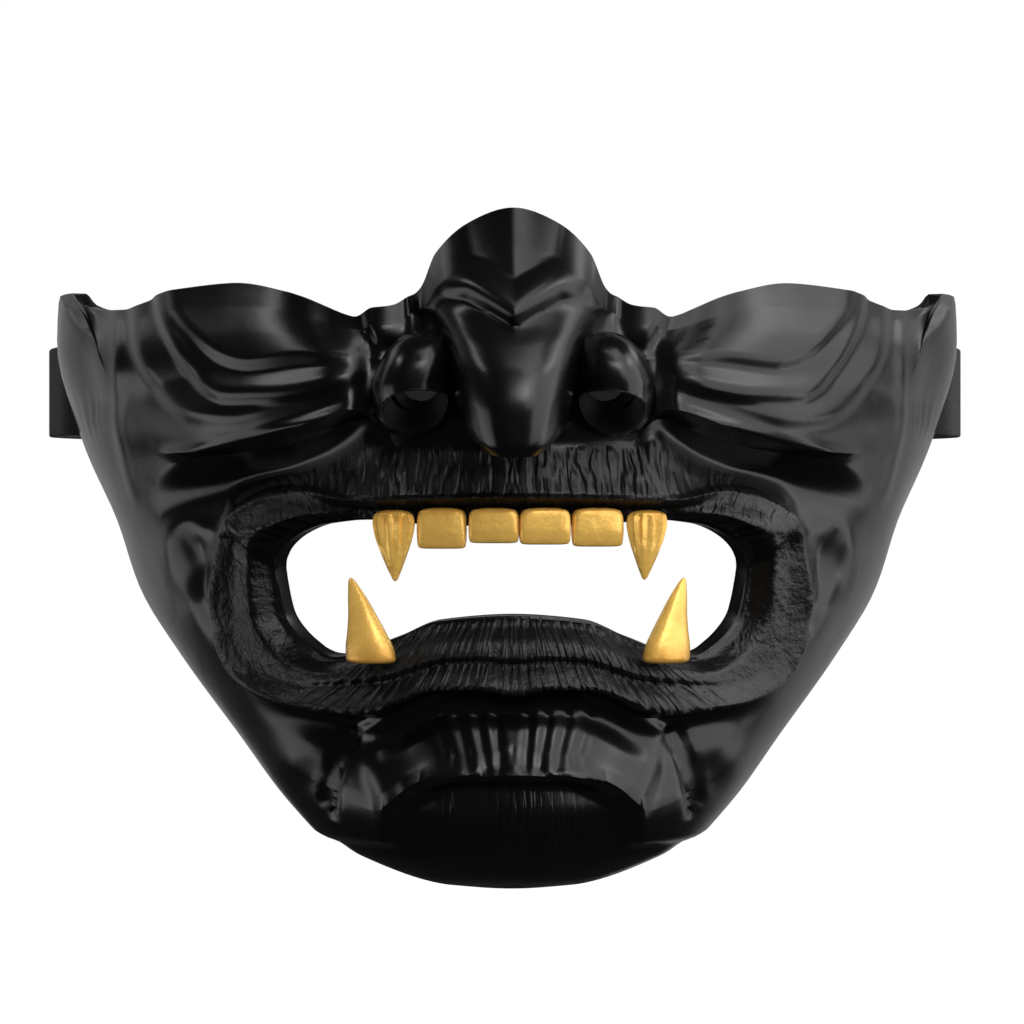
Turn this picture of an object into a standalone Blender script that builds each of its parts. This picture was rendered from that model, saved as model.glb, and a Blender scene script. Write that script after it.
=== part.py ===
"""A samurai's half-face guard: one cast shell with an open, snarling mouth, gold teeth and an elastic head strap.

Metres, +Z up. The face looks along -Y. The origin is the middle of the wearer's head in the plane of the
shell's rear rim, at the height of the strap.

The shell is one loft. Spokes run outwards from the mouth, and four closed loops cross them: the edge of the
mouth, the border of the lips, the line under the nose and cheeks, and the outer rim. Each place on the loft
gets its depth from the horizontal sections of the face, and is then raised or sunk by the lips, the folds,
the lobes and the nose.
"""

import math

import bmesh
import bpy
import numpy as np
from mathutils import Matrix, Vector
from mathutils.bvhtree import BVHTree

# Driving dimensions
MASK_WIDTH = 0.190  # across the temple wings
MASK_HEIGHT = 0.136  # chin to the top of the nose bridge
FACE_DEPTH = 0.086  # rear rim forward to the lips
NOSE_RISE = 0.025  # nose tip in front of the upper lip
RELIEF = 0.010  # the unit of height for lips, folds and lobes
WALL = 0.003  # cast shell
SEAT_GAP = 0.0003  # between pieces that touch
STRAP_WIDTH = 0.019
STRAP_THICKNESS = 0.0016
STRAP_TAB = 0.015  # stretch of each strap end on the inside of the shell
HEAD_DEPTH = 0.116  # rear rim back to the strap behind the head
HEAD_HALF_WIDTH = 0.0990  # middle of the head to the strap beside the ear
STRAP_HEIGHT = 0.744  # of the origin above the chin, as a share of MASK_HEIGHT

HALF_WIDTH = MASK_WIDTH / 2
CHIN = -STRAP_HEIGHT * MASK_HEIGHT
SIDE_SPOKE = 11  # the spoke to the temple wing's rear edge, where the rim starts down the side of the face
SPOKES = 22  # key spokes from the middle of the nose, round one side, to the middle of the chin
NOSE_SPOKES = 5  # of them, those across half the nose
CELLS_PER_SPOKE = 2
CELLS_PER_NOSE_SPOKE = 3
SIDE_POWER = 1.8  # how square the horizontal sections are
FRONT_POWER = 0.58
NOSE_DROOP = 0.25  # fall of the nose for each unit that it stands out
BLEND = 0.0012  # softness where two lobes of the nose meet

# The middle line of the face without its nose and lips. up is the share of MASK_HEIGHT above the chin and
# depth the share of FACE_DEPTH.
#    up, depth
PROFILE = (
    (0.000, 0.700),
    (0.019, 0.790),
    (0.066, 0.884),
    (0.133, 0.942),
    (0.220, 0.953),
    (0.307, 0.965),
    (0.393, 0.988),
    (0.480, 1.000),
    (0.738, 1.000),
    (0.872, 0.977),
    (1.003, 0.907),
)

# The loops. spoke runs from 0, the top of the middle, to SPOKES, the bottom; across is the share of
# HALF_WIDTH and up the share of MASK_HEIGHT above the chin. The rim's depth is the share of FACE_DEPTH.
#    spoke, across, up
MOUTH_EDGE = (
    (0, 0.000, 0.534),
    (3, 0.200, 0.537),
    (5, 0.310, 0.543),
    (7, 0.396, 0.537),
    (8, 0.445, 0.518),
    (9, 0.473, 0.492),
    (10, 0.482, 0.464),
    (12, 0.465, 0.408),
    (14, 0.409, 0.358),
    (15, 0.365, 0.344),
    (17, 0.259, 0.368),
    (19, 0.165, 0.394),
    (22, 0.000, 0.402),
)
LIP_BORDER = (
    (0, 0.000, 0.577),
    (3, 0.186, 0.575),
    (5, 0.307, 0.573),
    (7, 0.449, 0.589),
    (8, 0.525, 0.588),
    (9, 0.591, 0.566),
    (10, 0.629, 0.529),
    (12, 0.644, 0.425),
    (14, 0.590, 0.325),
    (16, 0.445, 0.276),
    (18, 0.291, 0.266),
    (20, 0.145, 0.302),
    (21, 0.072, 0.304),
    (22, 0.000, 0.295),
)
CHEEK_LINE = (
    (0, 0.000, 0.668),
    (2, 0.120, 0.668),
    (4, 0.244, 0.668),
    (5, 0.302, 0.709),
    (6, 0.416, 0.689),
    (7, 0.550, 0.664),
    (9, 0.753, 0.641),
    (10, 0.786, 0.631),
    (12, 0.757, 0.529),
    (14, 0.697, 0.387),
    (16, 0.508, 0.216),
    (18, 0.267, 0.120),
    (19, 0.197, 0.139),
    (20, 0.124, 0.159),
    (22, 0.000, 0.164),
)
#    spoke, across, up, depth
RIM = (
    (0, 0.000, 1.003, 0.930),
    (1, 0.099, 0.978, 0.920),
    (2, 0.162, 0.934, 0.890),
    (3, 0.192, 0.888, 0.870),
    (4, 0.236, 0.862, 0.860),
    (4.6, 0.284, 0.856, 0.850),
    (5, 0.315, 0.838, 0.835),
    (6, 0.449, 0.872, 0.790),
    (7, 0.567, 0.887, 0.700),
    (8, 0.711, 0.879, 0.540),
    (9, 0.826, 0.849, 0.360),
    (9.5, 0.891, 0.860, 0.220),
    (10, 0.960, 0.885, 0.070),
    (10.4, 0.992, 0.872, 0.020),
    (SIDE_SPOKE, 0.998, 0.813, 0.000),
    (12, 0.938, 0.659, 0.000),
    (13, 0.861, 0.544, 0.070),
    (14, 0.804, 0.437, 0.140),
    (15, 0.710, 0.340, 0.250),
    (16, 0.582, 0.230, 0.390),
    (17, 0.452, 0.123, 0.520),
    (18, 0.317, 0.047, 0.630),
    (20, 0.126, 0.006, 0.690),
    (22, 0.000, 0.001, 0.700),
)

# The lips between the mouth's edge, ring 0, and their border, ring 1, and the ground just outside them.
# upper, corner and lower are heights in units of RELIEF.
#    ring, upper, corner, lower
LIPS = (
    (0.00, -0.52, -0.46, -0.46),
    (0.12, -0.52, -0.42, -0.42),
    (0.22, -0.52, -0.18, -0.22),
    (0.32, -0.52, 0.02, 0.08),
    (0.50, -0.50, 0.06, 0.18),
    (0.62, -0.34, 0.08, 0.04),
    (0.80, -0.02, 0.18, 0.26),
    (0.93, 0.14, 0.26, 0.36),
    (1.00, 0.18, 0.18, 0.30),
    (1.08, 0.12, 0.02, -0.25),
    (1.30, 0.10, 0.00, -0.45),
    (1.60, 0.02, 0.00, -0.20),
    (2.00, 0.00, 0.00, 0.00),
)

# The nose tip, a drop-shaped lobe: half its width by height, and its rise as a share of NOSE_RISE.
#    up, half_width, rise
NOSE_TIP = (
    (0.655, 0.020, 0.82),
    (0.672, 0.080, 0.93),
    (0.695, 0.116, 0.99),
    (0.740, 0.134, 1.00),
    (0.790, 0.146, 0.97),
    (0.830, 0.158, 0.88),
    (0.845, 0.180, 0.76),
    (0.865, 0.206, 0.62),
    (0.885, 0.212, 0.42),
    (0.905, 0.200, 0.22),
    (0.930, 0.180, 0.00),
)

# The nose bridge, a roof with its ridge in the middle.
BRIDGE_RISE = 1.05  # in units of RELIEF
BRIDGE_HALF_WIDTH = 0.225  # share of HALF_WIDTH
BRIDGE_START = (0.800, 0.870)  # shares of MASK_HEIGHT between which it grows out of the face
BRIDGE_END = (0.880, 1.040)  # and between which it sinks back towards the brow
BRIDGE_SINK = 0.55

# Round lobes on the face, in shares of HALF_WIDTH and MASK_HEIGHT; rise in units of RELIEF. A nose lobe
# stands out with the nose, any other along the face's own normal. The edge is 1 for a lobe as steep at its
# edge as at half height, less for a steeper edge.
#    nose, across, up, half_width, half_height, tilt in degrees, edge, rise
LOBES = (
    (True, 0.212, 0.756, 0.090, 0.086, 0, 0.6, 1.30),
    (True, 0.262, 0.842, 0.075, 0.062, 0, 1.2, 0.50),
    (False, 0.560, 0.845, 0.300, 0.110, -4, 2.0, 0.42),
    (False, 0.640, 0.700, 0.260, 0.070, -6, 2.0, 0.20),
    (False, 0.480, 0.630, 0.260, 0.055, -14, 2.0, -0.55),
    (False, 0.780, 0.590, 0.130, 0.080, 0, 2.0, -0.25),
    (False, 0.660, 0.490, 0.070, 0.085, 20, 2.0, -0.22),
    (False, 0.000, 0.235, 0.330, 0.060, 0, 2.0, -0.12),
    (False, 0.000, 0.120, 0.300, 0.080, 0, 2.0, 0.16),
)

# Folds that follow a path. rise is in units of RELIEF, width and reach in shares of HALF_WIDTH. A ridge is
# round and a crease is a groove. A step stands out on its left and falls away on its right, as its path is
# walked, and fades over its reach. A fold that starts in the middle of the face runs on over to the other
# side, and any other end tapers off.
#    kind, nose, rise, width, reach, path
FOLDS = (
    ("ridge", True, 0.60, 0.030, 0.0,
     ((0.000, 0.880), (0.039, 0.903), (0.087, 0.928), (0.142, 0.930), (0.181, 0.906), (0.210, 0.862))),
    ("step", False, 0.20, 0.034, 0.20, ((0.300, 0.782), (0.440, 0.774), (0.610, 0.776), (0.700, 0.800), (0.775, 0.850))),
    ("step", False, 0.22, 0.034, 0.16, ((0.300, 0.752), (0.440, 0.738), (0.580, 0.733), (0.680, 0.750), (0.790, 0.840))),
    ("step", False, 0.10, 0.040, 0.16, ((0.310, 0.730), (0.440, 0.708), (0.600, 0.702), (0.740, 0.722), (0.812, 0.800))),
    ("ridge", False, 0.26, 0.032, 0.0, ((0.852, 0.880), (0.848, 0.784), (0.856, 0.709), (0.842, 0.650), (0.800, 0.560))),
    ("crease", False, 0.22, 0.050, 0.0, ((0.915, 0.880), (0.925, 0.780), (0.900, 0.690))),
    ("crease", False, 0.12, 0.034, 0.0, ((0.705, 0.545), (0.680, 0.500), (0.655, 0.440), (0.600, 0.370))),
    ("step", False, 0.22, 0.045, 0.30, ((0.590, 0.592), (0.500, 0.612), (0.389, 0.641), (0.263, 0.678))),
    ("step", False, 0.34, 0.028, 0.25,
     ((0.000, 0.167), (0.070, 0.167), (0.135, 0.164), (0.190, 0.156), (0.226, 0.136), (0.240, 0.100), (0.242, 0.060))),
    ("step", False, 0.22, 0.040, 0.20, ((0.236, 0.110), (0.290, 0.180), (0.332, 0.250))),
    ("ridge", False, 0.12, 0.060, 0.0, ((0.735, 0.560), (0.655, 0.420), (0.520, 0.290), (0.380, 0.170))),
)

# The cheek's lower edge: how far it overhangs along the cheek line, and the nose's crease beside it.
CHEEK_EDGE_RISE = 0.70  # in units of RELIEF
CHEEK_EDGE_REACH = 0.10  # in shares of MASK_HEIGHT
CHEEK_EDGE_SPOKES = (5.0, 5.6, 8.6, 10.4)  # where it begins, is full, starts to fade, and ends
EDGE_RINGS = (1.90, 2.02)  # between these rings the underside of the nose and cheeks falls back
RIM_CROWDING = 1.6  # how much closer the rings lie to the rim on the sides
RINGS = (0, 0.12, 0.22, 0.32, 0.50, 0.62, 0.80, 0.93, 1.00, 1.08, 1.30, 1.60,
         1.90, 2.02, 2.10, 2.22, 2.36, 2.50, 2.58, 2.65, 2.72, 2.79, 2.86, 2.94, 3.00)

# Nostrils, as holes through the shell: place in the front view, size and slope.
NOSTRIL_ACROSS = 0.190  # share of HALF_WIDTH
NOSTRIL_UP = 0.690  # share of MASK_HEIGHT
NOSTRIL_DEPTH = 1.07  # share of FACE_DEPTH
NOSTRIL_HALF_WIDTH = 0.0054
NOSTRIL_HALF_HEIGHT = 0.0042
NOSTRIL_REACH = 0.0120
NOSTRIL_SLOPE = math.radians(15)

# The teeth, from the wearer's right to left. across and width are shares of HALF_WIDTH, root and tip shares
# of MASK_HEIGHT above the chin, thickness a share of width.
#    name, across, width, root, tip, tip_across, thickness, form
TEETH = (
    ("upper_fang_right", -0.247, 0.094, 0.558, 0.455, -0.243, 0.74, "fang"),
    ("upper_incisor_1", -0.147, 0.101, 0.561, 0.502, -0.147, 0.46, "incisor"),
    ("upper_incisor_2", -0.040, 0.099, 0.561, 0.510, -0.040, 0.46, "incisor"),
    ("upper_incisor_3", 0.065, 0.101, 0.561, 0.508, 0.065, 0.46, "incisor"),
    ("upper_incisor_4", 0.174, 0.107, 0.561, 0.505, 0.174, 0.44, "incisor"),
    ("upper_fang_left", 0.278, 0.090, 0.558, 0.457, 0.272, 0.76, "fang"),
    ("lower_fang_right", -0.290, 0.114, 0.336, 0.460, -0.338, 0.58, "fang"),
    ("lower_fang_left", 0.314, 0.110, 0.336, 0.460, 0.358, 0.58, "fang"),
)

# A tooth's outline from root to tip: shares of its height, width and thickness.
#    height, width, thickness
TOOTH_FORMS = {
    "incisor": ((0.00, 0.78, 0.70), (0.10, 0.94, 0.96), (0.45, 1.00, 1.00), (0.80, 0.99, 0.74), (0.95, 0.95, 0.50),
                (1.00, 0.84, 0.30)),
    "fang": ((0.00, 0.80, 0.80), (0.08, 0.96, 0.96), (0.24, 1.00, 1.00), (0.45, 0.84, 0.86), (0.64, 0.62, 0.66),
             (0.82, 0.36, 0.40), (0.94, 0.16, 0.18), (1.00, 0.05, 0.05)),
}
TOOTH_POWER = {"incisor": 3.6, "fang": 2.2}  # how square its cross-section is
TOOTH_SIDES = 10
TOOTH_APPROACH = 0.012  # how far in front of the face a tooth starts before it is moved back to its seat

# The strap behind the rim, seen from above: shares of HEAD_HALF_WIDTH and HEAD_DEPTH.
#    across, back
STRAP_PATH = (
    (0.948, 0.070),
    (0.972, 0.150),
    (0.992, 0.250),
    (1.000, 0.340),
    (0.985, 0.480),
    (0.920, 0.660),
    (0.780, 0.830),
    (0.560, 0.945),
    (0.280, 0.992),
    (0.000, 1.000),
)
TAB_CLEARANCE = 0.0015  # from the flat end of the strap to the rim
RIM_CLEARANCE = 0.0025  # how far behind the rim the strap starts to turn outwards
STRAP_ROWS = 3
STRAP_STEPS = 20
TAB_STEPS = 4

#    name, colour, roughness, metallic
BLACK = ("lacquered_shell", (0.012, 0.012, 0.013), 0.32, 0.0)
GOLD = ("gold_paint", (0.72, 0.45, 0.12), 0.30, 0.9)
ELASTIC = ("black_elastic", (0.010, 0.010, 0.011), 0.85, 0.0)


def smooth(keys, values, at):
    """The values of a smooth line through the rows, which never overshoots them."""
    keys = np.asarray(keys, float)
    values = np.asarray(values, float)
    at = np.clip(at, keys[0], keys[-1])
    step = np.diff(keys)
    slope = np.diff(values) / step
    tangent = np.zeros_like(values)
    before, after = slope[:-1], slope[1:]
    same_way = before * after > 0
    weight = step[1:] + 2 * step[:-1], step[1:] * 2 + step[:-1]
    safe_before = np.where(same_way, before, 1.0)
    safe_after = np.where(same_way, after, 1.0)
    mean = (weight[0] + weight[1]) / (weight[1] / safe_before + weight[0] / safe_after)
    tangent[1:-1] = np.where(same_way, mean, 0.0)
    tangent[0], tangent[-1] = slope[0], slope[-1]
    cell = np.clip(np.searchsorted(keys, at, side="right") - 1, 0, len(step) - 1)
    share = (at - keys[cell]) / step[cell]
    rest = 1 - share
    return (
        values[cell] * (1 + 2 * share) * rest**2
        + values[cell + 1] * (3 - 2 * share) * share**2
        + step[cell] * share * rest * (tangent[cell] * rest - tangent[cell + 1] * share)
    )


def fade(value, low, high):
    """0 below low, 1 above high, and an even S between them."""
    share = np.clip((value - low) / (high - low), 0, 1)
    return share * share * (3 - 2 * share)


def larger(first, second, softness=BLEND):
    """The larger of two heights, rounded where they cross."""
    overlap = np.clip(0.5 + 0.5 * (first - second) / softness, 0, 1)
    return second + (first - second) * overlap + softness * overlap * (1 - overlap)


def loop_at(rows, spoke):
    """Across, up and any further column of a loop at each spoke. Its mirror half carries it over the middle."""
    columns = np.array(rows, float).T
    turn = columns[0]
    turn = np.concatenate(([-turn[1]], turn, [2 * SPOKES - turn[-2]]))
    found = []
    for number, column in enumerate(columns[1:]):
        sign = -1 if number == 0 else 1
        column = np.concatenate(([sign * column[1]], column, [sign * column[-2]]))
        found.append(smooth(turn, column, spoke))
    return found


def front_view(spoke, ring):
    """Across and height of each place of the loft, in metres, seen from the front."""
    loops = [loop_at(rows, spoke)[:2] for rows in (MOUTH_EDGE, LIP_BORDER, CHEEK_LINE, RIM)]
    inner = np.clip(np.floor(ring), 0, 2).astype(int)
    share = ring - inner
    crowded = 1 - (1 - share) ** RIM_CROWDING
    share = np.where(inner == 2, share + (crowded - share) * fade(spoke, 7.0, 10.0), share)
    across, up = (
        np.choose(inner, [loops[k][axis] for k in range(3)]) * (1 - share)
        + np.choose(inner, [loops[k + 1][axis] for k in range(3)]) * share
        for axis in (0, 1)
    )
    return across * HALF_WIDTH, CHIN + up * MASK_HEIGHT


def rim_at_height(up):
    """The rim's half width and depth at a height of the face, as shares."""
    across, height, depth = loop_at(RIM, np.linspace(SPOKES, SIDE_SPOKE, 400))
    return np.interp(up, height, across), np.interp(up, height, depth)


def face_depth(x, z):
    """How far in front of the rear rim's plane the plain face lies."""
    up = (z - CHIN) / MASK_HEIGHT
    half_width, rim = rim_at_height(up)
    front = smooth(*np.array(PROFILE).T, up)
    side = np.clip(np.abs(x) / (np.maximum(half_width, 0.02) * HALF_WIDTH), 0, 0.9999)
    return FACE_DEPTH * (rim + (front - rim) * (1 - side**SIDE_POWER) ** FRONT_POWER)


def face_normal(x, z):
    """The plain face's outward normal, from its slopes across and up."""
    step = MASK_WIDTH / 900
    slope_x = (face_depth(x + step, z) - face_depth(x - step, z)) / (2 * step)
    slope_z = (face_depth(x, z + step) - face_depth(x, z - step)) / (2 * step)
    normal = np.stack((-slope_x, -np.ones_like(x), -slope_z), axis=-1)
    return normal / np.linalg.norm(normal, axis=-1, keepdims=True)


def dense_path(path, count=25):
    """Places along a smooth curve through the path's own, in metres."""
    places = np.array(path, float) * (HALF_WIDTH, MASK_HEIGHT) + (0, CHIN)
    keys = np.concatenate(([0], np.cumsum(np.linalg.norm(np.diff(places, axis=0), axis=1))))
    at = np.linspace(0, keys[-1], count)
    return np.stack([smooth(keys, places[:, axis], at) for axis in (0, 1)], axis=-1)


def beside_path(path, x, z):
    """Distance to a path, positive on its left, and the share of its length walked at the nearest place."""
    line = dense_path(path)
    start, run = line[:-1], np.diff(line, axis=0)
    place = np.stack((x, z), axis=-1).reshape(-1, 1, 2) - start
    share = np.clip((place * run).sum(-1) / (run * run).sum(-1), 0, 1)
    away = place - share[..., None] * run
    distance = np.linalg.norm(away, axis=-1)
    nearest = distance.argmin(axis=1)
    row = np.arange(len(nearest))
    side = np.sign(run[nearest, 0] * away[row, nearest, 1] - run[nearest, 1] * away[row, nearest, 0])
    along = (nearest + share[row, nearest]) / len(run)
    return (distance[row, nearest] * side).reshape(x.shape), along.reshape(x.shape)


def fold_height(fold, x, z):
    """One fold's height, in units of RELIEF."""
    kind, _, rise, width, reach, path = fold
    distance, along = beside_path(path, x, z)
    width *= HALF_WIDTH
    start = fade(along, 0.0, 0.12) if path[0][0] > 0 else 1
    end = fade(1 - along, 0.0, 0.12)
    if kind == "step":
        above = np.exp(-np.maximum(distance, 0) / (reach * HALF_WIDTH))
        return rise * start * end * fade(distance, -width, width) * above
    sign = -1 if kind == "crease" else 1
    return sign * rise * start * end * np.exp(-((distance / width) ** 2))


def lobe_height(lobe, x, z):
    """One round lobe's height in units of RELIEF, and a place's distance from it as a share of its size."""
    _, across, up, half_width, half_height, tilt, edge, rise = lobe
    turn = math.radians(tilt)
    dx = x - across * HALF_WIDTH
    dz = z - CHIN - up * MASK_HEIGHT
    along = (dx * math.cos(turn) + dz * math.sin(turn)) / (half_width * HALF_WIDTH)
    over = (dz * math.cos(turn) - dx * math.sin(turn)) / (half_height * MASK_HEIGHT)
    out = along**2 + over**2
    return rise * np.clip(1 - out, 0, 1) ** edge, np.sqrt(out)


def tip_height(x, z):
    """The nose tip's height, in metres. Outside its outline it falls below nothing."""
    table = np.array(NOSE_TIP).T
    up = (z - CHIN) / MASK_HEIGHT
    half_width = smooth(table[0], table[1], up) * HALF_WIDTH
    rise = smooth(table[0], table[2], up) * NOSE_RISE
    out = np.abs(x) / half_width
    inside = np.clip(1 - out**2.4, 0, 1) ** 0.6
    return rise * inside - np.maximum(out - 1, 0) * half_width * 2


def nose_height(x, z):
    """How far the nose stands in front of the plain face, in metres."""
    up = (z - CHIN) / MASK_HEIGHT
    roof = BRIDGE_RISE * (1 - (np.abs(x) / (BRIDGE_HALF_WIDTH * HALF_WIDTH)) ** 1.1)
    inside = fade(roof, 0, 0.3)
    roof = np.maximum(roof, 0) * fade(up, *BRIDGE_START) * (1 - BRIDGE_SINK * fade(up, *BRIDGE_END))
    folds = sum(fold_height(fold, x, z) for fold in FOLDS if fold[1])
    height = larger(tip_height(x, z), (roof + folds * inside) * RELIEF)
    for lobe in LOBES:
        if lobe[0]:
            rise, away = lobe_height(lobe, x, z)
            height = larger(height, (rise - np.maximum(away - 1, 0)) * RELIEF)
    return np.maximum(height, 0)


def relief(x, z, spoke, ring):
    """How far the lips, cheeks and chin stand out along the face's normal, in metres."""
    table = np.array(LIPS).T
    upper, corner, lower = (smooth(table[0], column, ring) for column in table[1:])
    top = 1 - fade(spoke, 5.0, 7.5)
    bottom = fade(spoke, 15.0, 18.0)
    height = upper * top + lower * bottom + corner * (1 - top - bottom)
    for lobe in LOBES:
        if lobe[0]:
            continue
        height = height + lobe_height(lobe, x, z)[0]
    height = height + sum(fold_height(fold, x, z) for fold in FOLDS if not fold[1])
    begin, full, waning, end = CHEEK_EDGE_SPOKES
    along = fade(spoke, begin, full) * (1 - fade(spoke, waning, end))
    edge_z = CHIN + loop_at(CHEEK_LINE, spoke)[1] * MASK_HEIGHT
    above = np.exp(-np.maximum(z - edge_z, 0) / (CHEEK_EDGE_REACH * MASK_HEIGHT))
    height = height + CHEEK_EDGE_RISE * along * above * fade(ring, *EDGE_RINGS)
    return height * RELIEF


def heights(spoke, ring):
    """Where each place of the loft lies in the front view, and the heights of its relief and of its nose."""
    x, z = front_view(spoke, ring)
    nose = nose_height(x, z) * fade(ring, *EDGE_RINGS) * (1 - fade(spoke, 6.0, 7.0))
    return x, z, relief(x, z, spoke, ring), nose


def plain_face(x, z, spoke, ring):
    """The plain face, bent so that it ends at the rim's depth."""
    rim_x, rim_z = front_view(spoke, np.full_like(ring, 3.0))
    rim_shift = face_depth(rim_x, rim_z) - loop_at(RIM, spoke)[2] * FACE_DEPTH
    depth = face_depth(x, z) - rim_shift * fade(ring, 2.3, 3.0) ** 1.5
    return np.stack((x, -depth, z), axis=-1)


def eroded(height, place, all_heights, all_places):
    """A height field worn back from beneath by a ball as thick as the wall."""
    worn = height - WALL
    for index in range(len(worn)):
        square = ((all_places - place[index]) ** 2).sum(-1)
        near = square < WALL**2
        if near.any():
            worn[index] = min(worn[index], (all_heights[near] - np.sqrt(WALL**2 - square[near])).min())
    return worn


def shell_faces(spoke, ring):
    """The shell's outer face at each spoke and ring, and its inner face, at least a wall behind it."""
    x, z, rise, nose = heights(spoke, ring)
    plain = plain_face(x, z, spoke, ring)
    normal = face_normal(x, z)
    forward = np.array((0, -1, -NOSE_DROOP))
    outer = plain + normal * rise[..., None] + forward * nose[..., None]

    fine_spoke, fine_ring = np.meshgrid(np.linspace(0, SPOKES, 155), np.linspace(0, 3, 91), indexing="ij")
    fine_x, fine_z, fine_rise, fine_nose = (value.ravel() for value in heights(fine_spoke, fine_ring))
    fine_plain = plain_face(fine_x, fine_z, fine_spoke.ravel(), fine_ring.ravel())
    worn_rise = eroded(rise.ravel(), plain.reshape(-1, 3), fine_rise, fine_plain).reshape(x.shape)
    seen = np.stack((x.ravel(), z.ravel()), axis=-1)
    worn_nose = eroded(nose.ravel(), seen, fine_nose, np.stack((fine_x, fine_z), axis=-1)).reshape(x.shape)
    worn_nose = np.clip(worn_nose + WALL, 0, nose)
    return outer, plain + normal * worn_rise[..., None] + forward * worn_nose[..., None]


def new_object(name, mesh, finish=None, smooth_angle=None):
    """An object in the guard's collection, with its finish."""
    obj = bpy.data.objects.new(name, mesh)
    bpy.data.collections["samurai_face_guard"].objects.link(obj)
    if finish:
        mesh.materials.append(material(*finish))
    if smooth_angle:
        mesh.shade_smooth()
        mesh.set_sharp_from_angle(angle=math.radians(smooth_angle))
    return obj


def material(name, colour, roughness, metallic):
    """A Principled material, made once."""
    made = bpy.data.materials.get(name)
    if made is None:
        made = bpy.data.materials.new(name)
        made.use_nodes = True
        shader = made.node_tree.nodes["Principled BSDF"]
        shader.inputs["Base Color"].default_value = (*colour, 1)
        shader.inputs["Roughness"].default_value = roughness
        shader.inputs["Metallic"].default_value = metallic
        made.diffuse_color = (*colour, 1)
    return made


def spoke_places():
    """The loft's spokes over one half, closer together on the nose."""
    nose = np.linspace(0, NOSE_SPOKES, NOSE_SPOKES * CELLS_PER_NOSE_SPOKE + 1)
    cells = (SPOKES - NOSE_SPOKES) * CELLS_PER_SPOKE
    return np.concatenate((nose, np.linspace(NOSE_SPOKES, SPOKES, cells + 1)[1:]))


def grid_faces(places):
    """The four-sided faces of a sheet through rows and columns of places."""
    rows, columns = places.shape[:2]
    corner = np.arange(rows * columns).reshape(rows, columns)
    faces = np.stack((corner[:-1, :-1], corner[1:, :-1], corner[1:, 1:], corner[:-1, 1:]), axis=-1)
    return faces.reshape(-1, 4).tolist()


def grid_mesh(name, places):
    """A sheet through rows and columns of places."""
    mesh = bpy.data.meshes.new(name)
    mesh.from_pydata(places.reshape(-1, 3).tolist(), [], grid_faces(places))
    return mesh


def mirror(obj):
    """A Mirror modifier that joins the two halves at the plane of symmetry."""
    modifier = obj.modifiers.new("both_sides", "MIRROR")
    modifier.use_clip = True
    modifier.merge_threshold = 0.00005


def shell():
    """The cast shell: one half's section swept round the mouth, mirrored and pierced at the nostrils."""
    spoke, ring = np.meshgrid(spoke_places(), np.array(RINGS), indexing="ij")
    outer, inner = shell_faces(spoke, ring)
    for face in (outer, inner):
        face[[0, -1], :, 0] = 0
    section = np.concatenate((outer, inner[:, ::-1], outer[:, :1]), axis=1)
    obj = new_object("mask_shell", grid_mesh("mask_shell", section), BLACK, 50)
    closed = bmesh.new()
    closed.from_mesh(obj.data)
    bmesh.ops.remove_doubles(closed, verts=closed.verts, dist=1e-6)
    closed.to_mesh(obj.data)
    closed.free()
    mirror(obj)
    for side in (-1, 1):
        cut = obj.modifiers.new("nostril", "BOOLEAN")
        cut.operation = "DIFFERENCE"
        cut.object = nostril_cutter(side)
    return obj


def nostril_cutter(side):
    """A long egg that pierces one nostril, from below and in front."""
    mesh = bpy.data.meshes.new("nostril_cutter")
    shape = bmesh.new()
    bmesh.ops.create_uvsphere(shape, u_segments=12, v_segments=8, radius=1)
    size = Matrix.Diagonal((NOSTRIL_HALF_WIDTH, NOSTRIL_HALF_HEIGHT, NOSTRIL_REACH, 1))
    place = Matrix.Translation(
        (side * NOSTRIL_ACROSS * HALF_WIDTH, -NOSTRIL_DEPTH * FACE_DEPTH, CHIN + NOSTRIL_UP * MASK_HEIGHT)
    )
    bmesh.ops.transform(shape, matrix=place @ Matrix.Rotation(-NOSTRIL_SLOPE, 4, "X") @ size, verts=shape.verts)
    shape.to_mesh(mesh)
    shape.free()
    cutter = bpy.data.objects.new("nostril_cutter", mesh)
    bpy.data.collections["cutters"].objects.link(cutter)
    cutter.hide_render = True
    cutter.display_type = "WIRE"
    return cutter


def finished_surface(obj):
    """A search tree of an object's finished surface, and the places of its corners."""
    graph = bpy.context.evaluated_depsgraph_get()
    mesh = obj.evaluated_get(graph).to_mesh()
    return BVHTree.FromObject(obj, graph), [corner.co.copy() for corner in mesh.vertices]


def seat_shift(places, faces, towards, shell_tree, shell_places):
    """How far a piece well clear of the shell moves towards it to stop at the seat's gap."""
    piece = BVHTree.FromPolygons(places.tolist(), faces)
    middle = Vector(places.mean(axis=0))
    around = [place for place in shell_places if (place - middle).length < 4 * np.ptp(places, axis=0).max()]
    shift = 0.0
    for _ in range(60):
        moved = towards * shift
        gap = min(
            min(shell_tree.find_nearest(Vector(place) + moved)[3] for place in places),
            min(piece.find_nearest(place - moved)[3] for place in around),
        )
        if gap - SEAT_GAP < 1e-5:
            break
        shift += 0.9 * (gap - SEAT_GAP)
    return shift


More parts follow.
